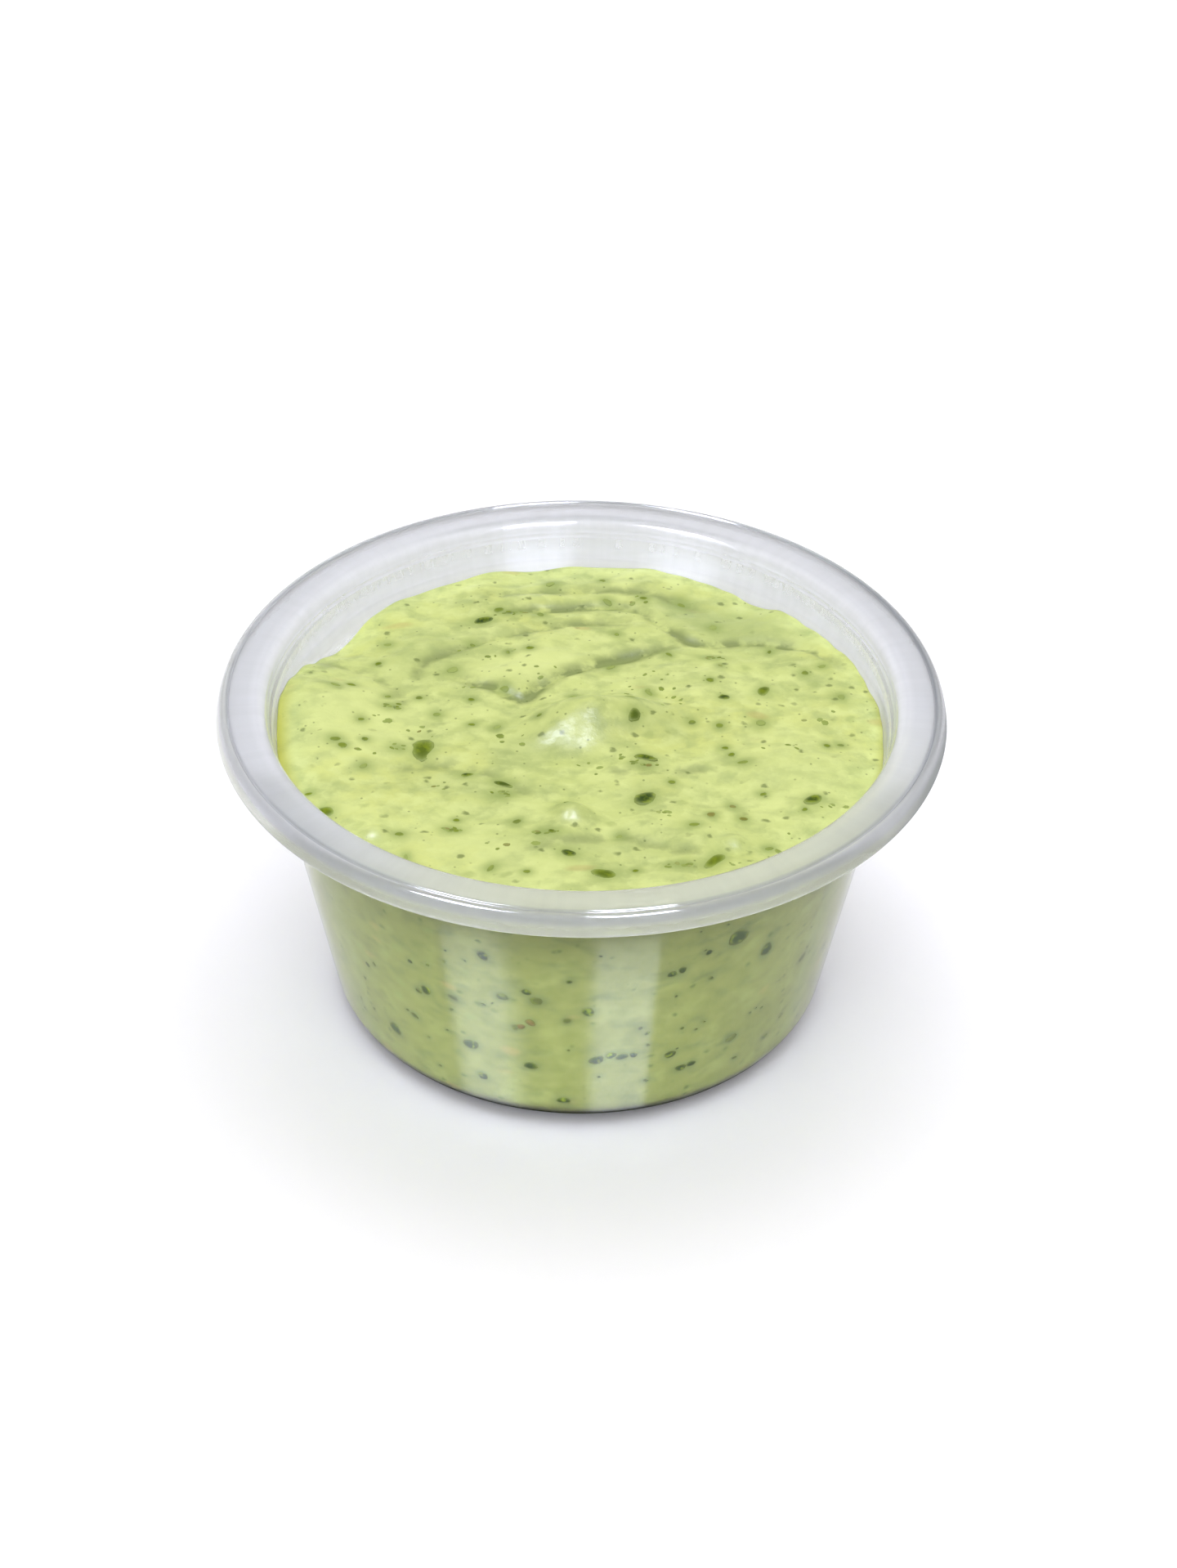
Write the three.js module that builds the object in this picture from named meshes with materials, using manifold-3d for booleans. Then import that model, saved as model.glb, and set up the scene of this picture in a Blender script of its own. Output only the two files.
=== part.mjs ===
// A clear plastic portion cup with a flanged rim, filled with a thick creamy green herb dip.
// The dip's top is folded and peaked as it was spooned in, and carries chopped herbs.
// Millimetres, +Z up. The origin is the centre of the cup's flat base. The viewer stands on the -Y side.

import * as THREE from 'three';
import { mergeVertices } from 'three/addons/utils/BufferGeometryUtils.js';
import Module from 'manifold-3d';

const wasm = await Module();
wasm.setup();

// ---- Driving dimensions: the cup ------------------------------------------------------------

const CUP_HEIGHT = 36;
const WALL = 0.5;
const FLOOR = 0.6;
const WALL_SLOPE = Math.tan(THREE.MathUtils.degToRad(10.97)); // outward lean of the side
const MOUTH_RADIUS = 32.46; // outer face of the side, carried up to the rim plane
const BASE_CORNER = 4.5; // outer radius between side and base

const FLANGE_THICKNESS = 0.5;
const FLANGE_INNER_RADIUS = 33.0;
const FLANGE_OUTER_RADIUS = 35.83;
const FLANGE_FILLET = 1.05; // height of the rounding inside the mouth
const FLANGE_UNDER_FILLET = 0.8;

const LIP_RADIUS = 37.0; // widest point of the cup
const LIP_DROP = 2.27; // from the flange's face down to the lip's edge
const LIP_SHOULDER_RADIUS = 36.1;
const LIP_SHOULDER_DROP = 0.4;
const LIP_EDGE_ROUNDING = 0.2;
const LIP_THICKNESS = 0.5;

const SEGMENTS = 72; // around the cup and around the dip
const CORNER_STEPS = 3;

// ---- Driving dimensions: the dip ------------------------------------------------------------

const FIT_GAP = 0.3; // between the dip and the cup
const DIP_LEVEL = CUP_HEIGHT - 5.4; // where the dip's top meets the side, on average
const DOME_RISE = 0.8; // middle of the top over its edge
const TOP_RINGS = 24;
const SIDE_BANDS = 3;

// Rises and dips of the edge along the wall: azimuth and spread in degrees, height in mm.
const EDGE_WAVES = [
  { azimuth: 170, spread: 8, rise: 0.6 },
  { azimuth: 147, spread: 10, rise: -1.3 },
  { azimuth: 117, spread: 9, rise: 0.2 },
  { azimuth: 75, spread: 5, rise: 0.6 },
  { azimuth: 54, spread: 6, rise: -0.5 },
  { azimuth: 24, spread: 12, rise: 0.3 },
  { azimuth: -4, spread: 7, rise: -0.7 },
];
const EDGE_WAVE_REACH = 0.65; // share of the radius where the edge waves have died away

// Soft heaps and hollows: centre, half sizes along and across, turn in degrees, height.
const MOUNDS = [
  { name: 'peak', at: [3.0, 1.2], size: [5.6, 3.4], turn: 10, rise: 1.4 },
  { name: 'peak tip', at: [-0.4, -0.5], size: [2.3, 1.8], turn: 35, rise: 0.9 },
  { name: 'left lobe', at: [-26.5, 2.0], size: [6.5, 9.0], turn: 0, rise: 1.2 },
  { name: 'right lobe', at: [24.0, -4.0], size: [5.0, 9.0], turn: 0, rise: 0.5 },
  { name: 'ribbon', at: [-5.0, 10.5], size: [6.0, 3.2], turn: 20, rise: 0.4 },
  { name: 'front lump', at: [-6.0, -23.5], size: [6.5, 4.0], turn: -10, rise: 0.5 },
  { name: 'front bump', at: [-0.7, -14.5], size: [1.9, 1.3], turn: 0, rise: 0.6 },
  { name: 'left bump', at: [-20.1, -17.8], size: [1.6, 1.2], turn: 0, rise: 0.35 },
  { name: 'right bump', at: [15.2, -18.4], size: [1.6, 1.2], turn: 0, rise: 0.35 },
  { name: 'hollow', at: [-17.5, 7.5], size: [5.0, 5.0], turn: 0, rise: -0.45 },
];

// Folds, where one spoonful laps over the last: a groove along a smooth curve. The side to the
// left of the curve's direction stands higher by lap, which dies away over reach.
const FOLDS = [
  {
    name: 'back fold',
    path: [[-11, 19.6], [-2, 21.7], [3.5, 21.6], [7.7, 18.6], [14.9, 15.6], [22, 14.8], [27, 11.2]],
    depth: 0.5, width: 1.1, lap: 0.45, reach: 3,
  },
  {
    name: 'ribbon back edge',
    path: [[-16.4, 8.6], [-15.1, 13.1], [-7.6, 17.4], [0.9, 19.1], [6.5, 19.0]],
    depth: 0.6, width: 1.1, lap: 0.3, reach: 3,
  },
  {
    name: 'ribbon front edge',
    path: [[11.5, 15.9], [3, 11.8], [-3.2, 7.4], [-5.9, 4.9], [-9.9, 6.8], [-13.5, 9.0]],
    depth: 0.7, width: 1.0, lap: -0.8, reach: 4,
  },
  {
    name: 'left lobe edge',
    path: [[-28.5, 10.6], [-23.1, 8.6], [-21.2, 2.4], [-23.4, -3.5]],
    depth: 0.35, width: 1.4, lap: 0, reach: 3,
  },
  {
    name: 'middle crease',
    path: [[2.5, -7.9], [8, -7.4], [13, -6.7]],
    depth: 0.25, width: 0.9, lap: 0.15, reach: 2,
  },
  {
    name: 'front crease',
    path: [[-6, -20.4], [3, -17.9], [8, -19.3], [12.5, -19.9]],
    depth: 0.35, width: 1.0, lap: 0.3, reach: 2.5,
  },
];
const FOLD_SAMPLES = 60;
const FOLD_END_FADE = 0.15; // share of a fold's length over which each end fades

// Slow unevenness of the spooned top.
const RIPPLES = [
  { height: 0.14, length: 13, turn: 25, phase: 0.4 },
  { height: 0.12, length: 8.5, turn: 100, phase: 1.9 },
  { height: 0.08, length: 6, turn: 150, phase: 3.1 },
];

// ---- Driving dimensions: the chopped herbs --------------------------------------------------

// The largest pieces on the top: centre, length, width, turn in degrees.
const LARGE_HERBS = [
  { at: [-16.2, -4.0], length: 3.2, width: 2.6, turn: 20 },
  { at: [6.4, -11.6], length: 2.7, width: 1.9, turn: 60 },
  { at: [13.1, -21.3], length: 2.8, width: 1.4, turn: 50 },
  { at: [-25.3, -14.0], length: 2.0, width: 1.3, turn: 15 },
  { at: [5.4, 0.1], length: 2.0, width: 1.2, turn: 80 },
  { at: [2.4, -23.8], length: 2.4, width: 1.6, turn: 0 },
  { at: [18.8, 6.9], length: 1.9, width: 1.2, turn: 70 },
  { at: [6.5, -5.4], length: 2.4, width: 1.1, turn: -10 },
  { at: [-7.8, -9.8], length: 2.2, width: 1.1, turn: -25 },
  { at: [-1.1, -20.7], length: 1.6, width: 1.3, turn: 0 },
  { at: [23.1, -11.8], length: 2.2, width: 1.3, turn: 30 },
  { at: [-10.6, 20.0], length: 2.6, width: 1.2, turn: 10 },
  { at: [-11.4, -8.2], length: 1.3, width: 1.0, turn: 0 },
  { at: [14.7, 5.1], length: 1.3, width: 1.0, turn: 0 },
];
const SMALL_HERB_COUNT = 40;
const SMALL_HERB_LENGTH = [0.9, 1.7];
const SMALL_HERB_ASPECT = [0.5, 0.9];
const HERB_CANDIDATES = 12; // tries for each small piece, of which the loneliest is kept
const HERB_HALF_THICKNESS = 0.42;
const HERB_SINK = 0.12; // how far a piece's middle lies under the dip's surface
const HERB_WALL_CLEARANCE = 1.0;
const HERB_SEED = 41;

// ---- Small helpers --------------------------------------------------------------------------

const radians = THREE.MathUtils.degToRad;
const smoothstep = THREE.MathUtils.smoothstep;

function signedAngle(a, b) {
  return THREE.MathUtils.euclideanModulo(a - b + 180, 360) - 180;
}

// Outer radius of the cup's side at a height, and the inner one.
function outerRadius(z) {
  return MOUTH_RADIUS + (z - CUP_HEIGHT) * WALL_SLOPE;
}

function innerRadius(z) {
  return outerRadius(z) - WALL * Math.hypot(1, WALL_SLOPE);
}

function dipRadius(z) {
  return innerRadius(z) - FIT_GAP * Math.hypot(1, WALL_SLOPE);
}

// The round corner between a flat floor and a leaning side, as centre, radius and end angle.
function baseCorner(sideRadius, floorHeight, radius) {
  const centreHeight = floorHeight + radius;
  const centre = sideRadius(centreHeight) - radius * Math.hypot(1, WALL_SLOPE);
  return { x: centre, y: centreHeight, radius, end: -Math.atan(WALL_SLOPE) };
}

// A closed solid of revolution about +Z from an outline of radius against height.
function lathe(outline) {
  const geometry = new THREE.LatheGeometry(outline, SEGMENTS);
  geometry.rotateX(Math.PI / 2);
  return geometry;
}

// One shared vertex at each place, and no triangle that has shrunk to a line at a pole.
function weld(geometry) {
  geometry.deleteAttribute('normal');
  geometry.deleteAttribute('uv');
  const welded = mergeVertices(geometry, 1e-4);
  const triangles = [];
  for (let first = 0; first < welded.index.count; first += 3) {
    const corners = [0, 1, 2].map((corner) => welded.index.getX(first + corner));
    if (new Set(corners).size === 3) triangles.push(...corners);
  }
  welded.setIndex(triangles);
  return welded;
}

function toManifold(geometry) {
  const welded = weld(geometry);
  return new wasm.Manifold(new wasm.Mesh({
    numProp: 3,
    vertProperties: new Float32Array(welded.attributes.position.array),
    triVerts: new Uint32Array(welded.index.array),
  }));
}

function toGeometry(manifold) {
  const mesh = manifold.getMesh();
  const geometry = new THREE.BufferGeometry();
  geometry.setAttribute('position', new THREE.BufferAttribute(mesh.vertProperties, 3));
  geometry.setIndex(new THREE.BufferAttribute(mesh.triVerts, 1));
  geometry.computeVertexNormals();
  return geometry;
}

// ---- The cup --------------------------------------------------------------------------------

function cupOutline() {
  const outer = baseCorner(outerRadius, 0, BASE_CORNER);
  const inner = baseCorner(innerRadius, FLOOR, BASE_CORNER - WALL);
  const underside = CUP_HEIGHT - FLANGE_THICKNESS;
  const filletFoot = underside - FLANGE_UNDER_FILLET;
  const lipEdge = CUP_HEIGHT - LIP_DROP;
  const lipRoot = FLANGE_OUTER_RADIUS - LIP_THICKNESS;
  const innerFoot = CUP_HEIGHT - FLANGE_FILLET;

  const path = new THREE.Path();
  path.moveTo(0, 0);
  path.lineTo(outer.x, 0);
  path.absarc(outer.x, outer.y, outer.radius, -Math.PI / 2, outer.end, false);
  path.lineTo(outerRadius(filletFoot), filletFoot);
  path.quadraticCurveTo(
    outerRadius(underside), underside,
    outerRadius(underside) + FLANGE_UNDER_FILLET, underside,
  );
  path.lineTo(lipRoot, underside);
  path.lineTo(LIP_RADIUS - LIP_THICKNESS, lipEdge);
  path.lineTo(LIP_RADIUS - LIP_EDGE_ROUNDING, lipEdge);
  path.lineTo(LIP_RADIUS, lipEdge + LIP_EDGE_ROUNDING);
  path.lineTo(LIP_SHOULDER_RADIUS, CUP_HEIGHT - LIP_SHOULDER_DROP);
  path.lineTo(FLANGE_OUTER_RADIUS, CUP_HEIGHT);
  path.lineTo(FLANGE_INNER_RADIUS, CUP_HEIGHT);
  path.quadraticCurveTo(innerRadius(CUP_HEIGHT), CUP_HEIGHT, innerRadius(innerFoot), innerFoot);
  path.lineTo(inner.x + inner.radius * Math.cos(inner.end), inner.y + inner.radius * Math.sin(inner.end));
  path.absarc(inner.x, inner.y, inner.radius, inner.end, -Math.PI / 2, true);
  path.lineTo(0, FLOOR);
  return path.getPoints(CORNER_STEPS);
}

// ---- The dip's top --------------------------------------------------------------------------

function edgeWave(x, y) {
  const azimuth = THREE.MathUtils.radToDeg(Math.atan2(y, x));
  const share = Math.hypot(x, y) / dipRadius(DIP_LEVEL);
  const nearWall = smoothstep(share, EDGE_WAVE_REACH, 1);
  return nearWall * EDGE_WAVES.reduce(
    (sum, wave) => sum + wave.rise * Math.exp(-((signedAngle(azimuth, wave.azimuth) / wave.spread) ** 2)),
    0,
  );
}

function moundHeight(mound, x, y) {
  const turn = radians(mound.turn);
  const dx = x - mound.at[0];
  const dy = y - mound.at[1];
  const along = (dx * Math.cos(turn) + dy * Math.sin(turn)) / mound.size[0];
  const across = (dy * Math.cos(turn) - dx * Math.sin(turn)) / mound.size[1];
  return mound.rise * Math.exp(-along * along - across * across);
}

function rippleHeight(ripple, x, y) {
  const turn = radians(ripple.turn);
  const distance = x * Math.cos(turn) + y * Math.sin(turn);
  return ripple.height * Math.sin((2 * Math.PI * distance) / ripple.length + ripple.phase);
}

// Points and directions along each fold, worked out once.
const foldTracks = FOLDS.map((fold) => {
  const curve = new THREE.SplineCurve(fold.path.map(([x, y]) => new THREE.Vector2(x, y)));
  return Array.from({ length: FOLD_SAMPLES + 1 }, (_, step) => {
    const share = step / FOLD_SAMPLES;
    return { share, point: curve.getPoint(share), direction: curve.getTangent(share) };
  });
});

function foldHeight(fold, track, x, y) {
  const here = new THREE.Vector2(x, y);
  let nearest = track[0];
  for (const sample of track) {
    if (sample.point.distanceToSquared(here) < nearest.point.distanceToSquared(here)) nearest = sample;
  }
  const offset = here.sub(nearest.point);
  const distance = offset.length();
  const side = Math.sign(nearest.direction.cross(offset)) * distance;
  const ends = smoothstep(nearest.share, 0, FOLD_END_FADE) * smoothstep(1 - nearest.share, 0, FOLD_END_FADE);
  const groove = -fold.depth * Math.exp(-((distance / fold.width) ** 2));
  const highSide = fold.lap >= 0 ? side : -side;
  const lap = Math.abs(fold.lap) * smoothstep(highSide, 0, fold.width) * Math.exp(-distance / fold.reach);
  return ends * (groove + lap);
}

function topHeight(x, y) {
  const share = Math.min(1, Math.hypot(x, y) / dipRadius(DIP_LEVEL));
  let z = DIP_LEVEL + DOME_RISE * (1 - share * share) + edgeWave(x, y);
  for (const mound of MOUNDS) z += moundHeight(mound, x, y);
  for (const ripple of RIPPLES) z += rippleHeight(ripple, x, y);
  FOLDS.forEach((fold, index) => { z += foldHeight(fold, foldTracks[index], x, y); });
  return z;
}

function topNormal(x, y) {
  const step = 0.3;
  const slopeX = (topHeight(x + step, y) - topHeight(x - step, y)) / (2 * step);
  const slopeY = (topHeight(x, y + step) - topHeight(x, y - step)) / (2 * step);
  return new THREE.Vector3(-slopeX, -slopeY, 1).normalize();
}

// Where the dip's top meets its side at an azimuth, as radius and height.
function topEdge(azimuth) {
  let z = DIP_LEVEL;
  for (let pass = 0; pass < 4; pass += 1) {
    const radius = dipRadius(z);
    z = topHeight(radius * Math.cos(azimuth), radius * Math.sin(azimuth));
  }
  return { radius: dipRadius(z), z };
}

// ---- The dip --------------------------------------------------------------------------------

function dipOutline() {
  const corner = baseCorner(dipRadius, FLOOR + FIT_GAP, BASE_CORNER - WALL - FIT_GAP);
  const path = new THREE.Path();
  path.moveTo(0, FLOOR + FIT_GAP);
  path.lineTo(corner.x, FLOOR + FIT_GAP);
  path.absarc(corner.x, corner.y, corner.radius, -Math.PI / 2, corner.end, false);
  const outline = path.getPoints(CORNER_STEPS);
  const foot = outline[outline.length - 1].y;
  const sideTop = DIP_LEVEL - 3;
  for (let band = 1; band <= SIDE_BANDS; band += 1) {
    const z = THREE.MathUtils.lerp(foot, sideTop, band / SIDE_BANDS);
    outline.push(new THREE.Vector2(dipRadius(z), z));
  }
  const firstTop = outline.length;
  for (let ring = TOP_RINGS; ring >= 0; ring -= 1) {
    outline.push(new THREE.Vector2(dipRadius(DIP_LEVEL) * (ring / TOP_RINGS), DIP_LEVEL));
  }
  return { outline, firstTop };
}

// The turned solid, with its top rings moved onto the folded surface.
function dipBody() {
  const { outline, firstTop } = dipOutline();
  const geometry = lathe(outline);
  const position = geometry.attributes.position;
  for (let index = 0; index < position.count; index += 1) {
    const row = (index % outline.length) - firstTop;
    if (row >= 0) {
      const column = Math.floor(index / outline.length) % SEGMENTS;
      const vertex = new THREE.Vector2(0, -1)
        .rotateAround(new THREE.Vector2(), (2 * Math.PI * column) / SEGMENTS);
      const azimuth = Math.atan2(vertex.y, vertex.x);
      const radius = topEdge(azimuth).radius * (1 - row / TOP_RINGS);
      const x = radius * Math.cos(azimuth);
      const y = radius * Math.sin(azimuth);
      position.setXYZ(index, x, y, topHeight(x, y));
    }
  }
  return toManifold(geometry);
}

// ---- The chopped herbs ----------------------------------------------------------------------

function smallHerbs() {
  const random = THREE.MathUtils.seededRandom;
  random(HERB_SEED);
  const between = ([low, high]) => THREE.MathUtils.lerp(low, high, random());
  const placed = LARGE_HERBS.map((herb) => herb.at);
  const herbs = [];
  for (let count = 0; count < SMALL_HERB_COUNT; count += 1) {
    let best = null;
    for (let candidate = 0; candidate < HERB_CANDIDATES; candidate += 1) {
      const azimuth = 2 * Math.PI * random();
      const reach = dipRadius(DIP_LEVEL) - HERB_WALL_CLEARANCE - SMALL_HERB_LENGTH[1];
      const radius = reach * Math.sqrt(random());
      const at = [radius * Math.cos(azimuth), radius * Math.sin(azimuth)];
      const room = Math.min(...placed.map(([x, y]) => Math.hypot(x - at[0], y - at[1])));
      if (best === null || room > best.room) best = { at, room };
    }
    const length = between(SMALL_HERB_LENGTH);
    herbs.push({ at: best.at, length, width: length * between(SMALL_HERB_ASPECT), turn: 360 * random() });
    placed.push(best.at);
  }
  return herbs;
}

// One flat chopped piece, half sunk in the surface and tilted with it.
function herbPiece({ at: [x, y], length, width, turn }) {
  const geometry = new THREE.IcosahedronGeometry(1, 0);
  geometry.scale(length / 2, width / 2, HERB_HALF_THICKNESS);
  geometry.rotateZ(radians(turn));
  const normal = topNormal(x, y);
  const tilt = new THREE.Quaternion().setFromUnitVectors(new THREE.Vector3(0, 0, 1), normal);
  geometry.applyQuaternion(tilt);
  geometry.translate(x, y, topHeight(x, y) - HERB_SINK);
  return toManifold(geometry);
}

function dipSolid() {
  let dip = dipBody();
  for (const herb of [...LARGE_HERBS, ...smallHerbs()]) dip = dip.add(herbPiece(herb));
  return toGeometry(dip);
}

// ---- The whole object -----------------------------------------------------------------------

const clearPlastic = new THREE.MeshStandardMaterial({
  color: 0xe4e6ea, roughness: 0.12, metalness: 0, transparent: true, opacity: 0.3,
});
const herbDip = new THREE.MeshStandardMaterial({ color: 0xd4e28c, roughness: 0.35, metalness: 0 });

function namedMesh(name, geometry, material) {
  const mesh = new THREE.Mesh(geometry, material);
  mesh.name = name;
  return mesh;
}

const portionCupOfDip = new THREE.Group();
portionCupOfDip.add(namedMesh('cup', lathe(cupOutline()), clearPlastic));
portionCupOfDip.add(namedMesh('dip', dipSolid(), herbDip));

export default portionCupOfDip;
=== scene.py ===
"""A clear portion cup of creamy herb dip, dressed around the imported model."""
import math
import random

import bmesh
import bpy
import numpy as np
from mathutils import Matrix, Vector


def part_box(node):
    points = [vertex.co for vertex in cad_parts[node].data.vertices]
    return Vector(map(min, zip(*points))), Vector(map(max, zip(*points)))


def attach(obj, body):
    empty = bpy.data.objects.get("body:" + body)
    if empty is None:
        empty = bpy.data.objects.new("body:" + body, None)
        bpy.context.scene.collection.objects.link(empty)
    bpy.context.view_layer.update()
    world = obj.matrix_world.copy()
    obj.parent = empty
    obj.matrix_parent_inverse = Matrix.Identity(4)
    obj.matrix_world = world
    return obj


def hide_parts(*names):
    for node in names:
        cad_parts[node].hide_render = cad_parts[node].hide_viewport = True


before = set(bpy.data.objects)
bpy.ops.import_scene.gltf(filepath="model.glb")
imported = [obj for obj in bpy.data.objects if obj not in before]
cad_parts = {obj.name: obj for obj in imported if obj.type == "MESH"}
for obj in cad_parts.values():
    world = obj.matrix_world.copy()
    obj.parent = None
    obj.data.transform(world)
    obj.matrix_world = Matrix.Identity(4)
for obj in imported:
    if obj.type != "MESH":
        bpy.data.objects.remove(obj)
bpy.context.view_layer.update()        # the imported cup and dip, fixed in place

bl_info = {
    "name": "Portion cup of herb dip",
    "version": (1, 0, 0),
    "blender": (4, 5, 0),
    "location": "3D View > Sidebar > Dip cup",
    "description": "A clear portion cup filled with a folded, creamy herb dip",
    "category": "Add Mesh",
}

MM = 0.001
CUP_LOW, CUP_HIGH = (Vector(corner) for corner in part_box("cup"))
SEEDS = {"small herbs": 41, "top herbs": 7, "crumbs": 23, "wall specks": 19, "wall herbs": 5}

# ---- Forms of the dip's top, in millimetres from the cup's axis ------------------------------

# Rises and dips of the edge along the wall: azimuth and spread in degrees, height.
EDGE_WAVES = (
    (170, 8, 0.6), (147, 10, -1.3), (117, 9, 0.2), (75, 5, 0.6), (54, 6, -0.5), (24, 12, 0.3), (-4, 7, -0.7),
)
EDGE_WAVE_REACH = 0.65  # share of the radius where the edge waves have died away

# Soft heaps and hollows: centre, half sizes along and across, turn in degrees, height, and
# how steep the flanks are, 1 for a soft heap.
MOUNDS = {
    "peak": ((3.0, 1.2), (5.6, 3.4), 10, 1.4, 1),
    "peak tip": ((-0.9, -0.1), (4.2, 3.4), 15, 2.0, 1.25),
    "peak shoulder": ((5.6, 2.0), (2.6, 2.0), 0, 0.5, 1.2),
    "left lobe": ((-26.5, 2.0), (6.5, 9.0), 0, 1.2, 1),
    "right lobe": ((24.0, -4.0), (5.0, 9.0), 0, 0.5, 1),
    "ribbon": ((-5.0, 10.5), (6.0, 3.2), 20, 0.5, 1),
    "front lump": ((-6.0, -23.5), (6.5, 4.0), -10, 0.5, 1),
    "left front lump": ((-15.0, -21.0), (4.0, 2.6), -35, 0.5, 1),
    "front bump": ((-0.9, -14.6), (1.9, 1.5), 0, 1.4, 1.2),
    "left bump": ((-20.1, -17.6), (1.2, 0.9), 0, 0.8, 1.2),
    "right bump": ((15.1, -18.2), (1.1, 0.9), 0, 0.7, 1.2),
    "middle rise": ((12.0, 6.0), (9.0, 4.5), 15, 0.55, 1),
    "hollow": ((-17.5, 7.5), (5.0, 5.0), 0, -0.45, 1),
    "trough": ((-9.0, -3.0), (7.0, 2.6), -5, -0.4, 1),
    "right trough": ((12.0, -11.0), (7.0, 2.2), 8, -0.35, 1),
}

# Folds, where one spoonful laps over the last: path, groove depth, width, lap, reach.
FOLDS = {
    "back fold": (
        (
            (-11, 20.8), (-4, 22.2), (4.5, 22.5), (8.5, 18.9),
            (11.9, 15.9), (18, 16.7), (23.7, 15.1), (28, 10.7),
        ),
        0.4, 0.7, 0.3, 3,
    ),
    "ribbon back edge": (
        ((-17.5, 8.6), (-16.1, 12.3), (-9.7, 15.9), (-5, 17.7), (0.6, 19.5), (6.5, 19.0)),
        0.3, 0.7, 0.3, 3,
    ),
    "ribbon front edge": (
        ((11.5, 15.9), (4.7, 13.2), (-0.6, 10), (-4, 7.3), (-6.2, 5.1), (-9.9, 7.4), (-14, 9.2)),
        0.45, 0.8, -0.45, 5,
    ),
    "left lobe edge": (((-30, 13.2), (-24.1, 11), (-19.6, 7.4), (-17.8, 2.6)), 0.2, 0.8, 0, 3),
    "middle crease": (((2.5, -7.9), (8, -7.4), (13, -6.7)), 0.2, 0.7, 0.15, 2),
    "front crease": (((-6, -20.4), (3, -17.9), (8, -19.3), (12.5, -19.9)), 0.2, 0.7, 0.15, 2.5),
    "left crease": (((-20, -7.4), (-13, -6.4), (-8.2, -9.2), (-4.5, -12.6)), 0.2, 0.7, 0.2, 2.5),
    "back streak": (((-12, 24.2), (-3, 25.6), (6, 25.2), (14, 22.6)), 0.25, 0.7, 0.2, 2),
}
FOLD_SAMPLES = 60
FOLD_END_FADE = 0.15  # share of a fold's length over which each end fades
LAP_WIDTH = 2.5  # how wide a lap's step is, in widths of its groove
# Folds take a darker colour: herb dust gathered there and painted shade in the grooves.
CREASE_DEPTH = 0.3  # groove depth that takes the full crease colour

# Slow unevenness of the spooned top: height, wave length, turn in degrees, phase.
RIPPLES = (
    (0.14, 13, 25, 0.4), (0.12, 8.5, 100, 1.9), (0.08, 6, 150, 3.1),
    (0.05, 3.7, 78, 0.8), (0.04, 2.6, 118, 2.2),
)

# Pale and dull areas of the top, partly the dip's own tone and partly painted light and shade on folds that
# face the lamps or turn away: centre, half sizes, turn in degrees, how pale, or dull if negative.
TONE_AND_LIGHT_PATCHES = (
    ((-22.5, 0.5), (5.5, 8.5), 0, 0.9),
    ((-5.5, 10.5), (6.5, 3.2), 20, 1.0),
    ((-12.5, -19.5), (9.0, 4.0), -30, 0.6),
    ((22.0, -5.0), (6.0, 8.0), 0, 0.4),
    ((7.0, 8.5), (6.0, 3.0), 15, 0.3),
    ((15.0, 20.0), (9.0, 4.2), -30, -1.0),
    ((-17.0, 13.5), (6.0, 4.5), 30, -0.5),
    ((8.5, 0.8), (2.6, 3.0), 0, -0.6),
    ((-12.0, -9.0), (8.0, 2.5), -10, -0.4),
    ((-6.0, -4.5), (4.5, 2.6), 0, -0.6),
    ((2.0, -19.5), (9.0, 1.8), 5, -0.5),
)
PATCH_STEEPNESS = 1.5
# Oil along the wall: azimuth and spread in degrees, width as a share of the radius, strength.
OILY_EDGES = ((186, 17, 0.06, 1.0), (-6, 30, 0.03, 0.5))

# ---- Chopped herbs, in millimetres -----------------------------------------------------------

# The largest pieces on the top: centre, length, width, turn in degrees.
LARGE_HERBS = (
    ((-16.0, -4.0), 3.4, 2.6, 80),
    ((6.4, -11.6), 2.7, 1.9, 60),
    ((13.1, -21.3), 2.8, 1.4, 50),
    ((-25.3, -14.0), 2.0, 1.3, 15),
    ((5.4, 0.1), 2.0, 1.2, 80),
    ((2.4, -23.8), 2.4, 1.6, 0),
    ((18.8, 6.9), 1.9, 1.2, 70),
    ((6.5, -5.4), 2.4, 1.1, -10),
    ((-7.8, -9.8), 2.2, 1.1, -25),
    ((-1.1, -20.7), 1.6, 1.3, 0),
    ((23.1, -11.8), 2.2, 1.3, 30),
    ((-10.6, 20.0), 2.6, 1.2, 10),
    ((-11.4, -8.2), 1.3, 1.0, 0),
    ((14.7, 5.1), 1.3, 1.0, 0),
)
# Smaller dark pieces that catch the eye: centre, length.
MARKS = (
    ((-5.5, 13.7), 0.85), ((14.6, 5.3), 0.8), ((13.3, 8.0), 0.9), ((11.3, 0.8), 0.8),
    ((14.1, 0.4), 0.8), ((14.6, -3.1), 0.7), ((15.2, -4.2), 0.7), ((9.1, -9.2), 0.7),
    ((-11.4, 4.7), 0.7), ((-11.2, 0.2), 0.7), ((-4.3, 0.2), 0.6), ((-16.8, 5.1), 0.8),
    ((-23.9, 6.9), 1.0), ((-24.1, -4.1), 1.0), ((-21.9, -3.0), 0.7), ((-27.1, -10.9), 0.8),
    ((-21.4, 11.9), 0.8), ((-9.0, 21.7), 1.0), ((6.5, 23.9), 0.8), ((-2.8, -17.7), 0.7),
    ((16.1, -14.7), 0.8), ((22.2, -13.3), 0.6), ((25.0, -1.9), 0.7), ((5.4, -22.8), 0.7),
    ((-12.2, -15.3), 0.7), ((23.3, 10.4), 0.8), ((4.9, 3.1), 1.0), ((12.9, -14.3), 0.9),
    ((-5.1, -23.9), 0.7), ((18.2, -10.4), 0.7),
)
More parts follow.
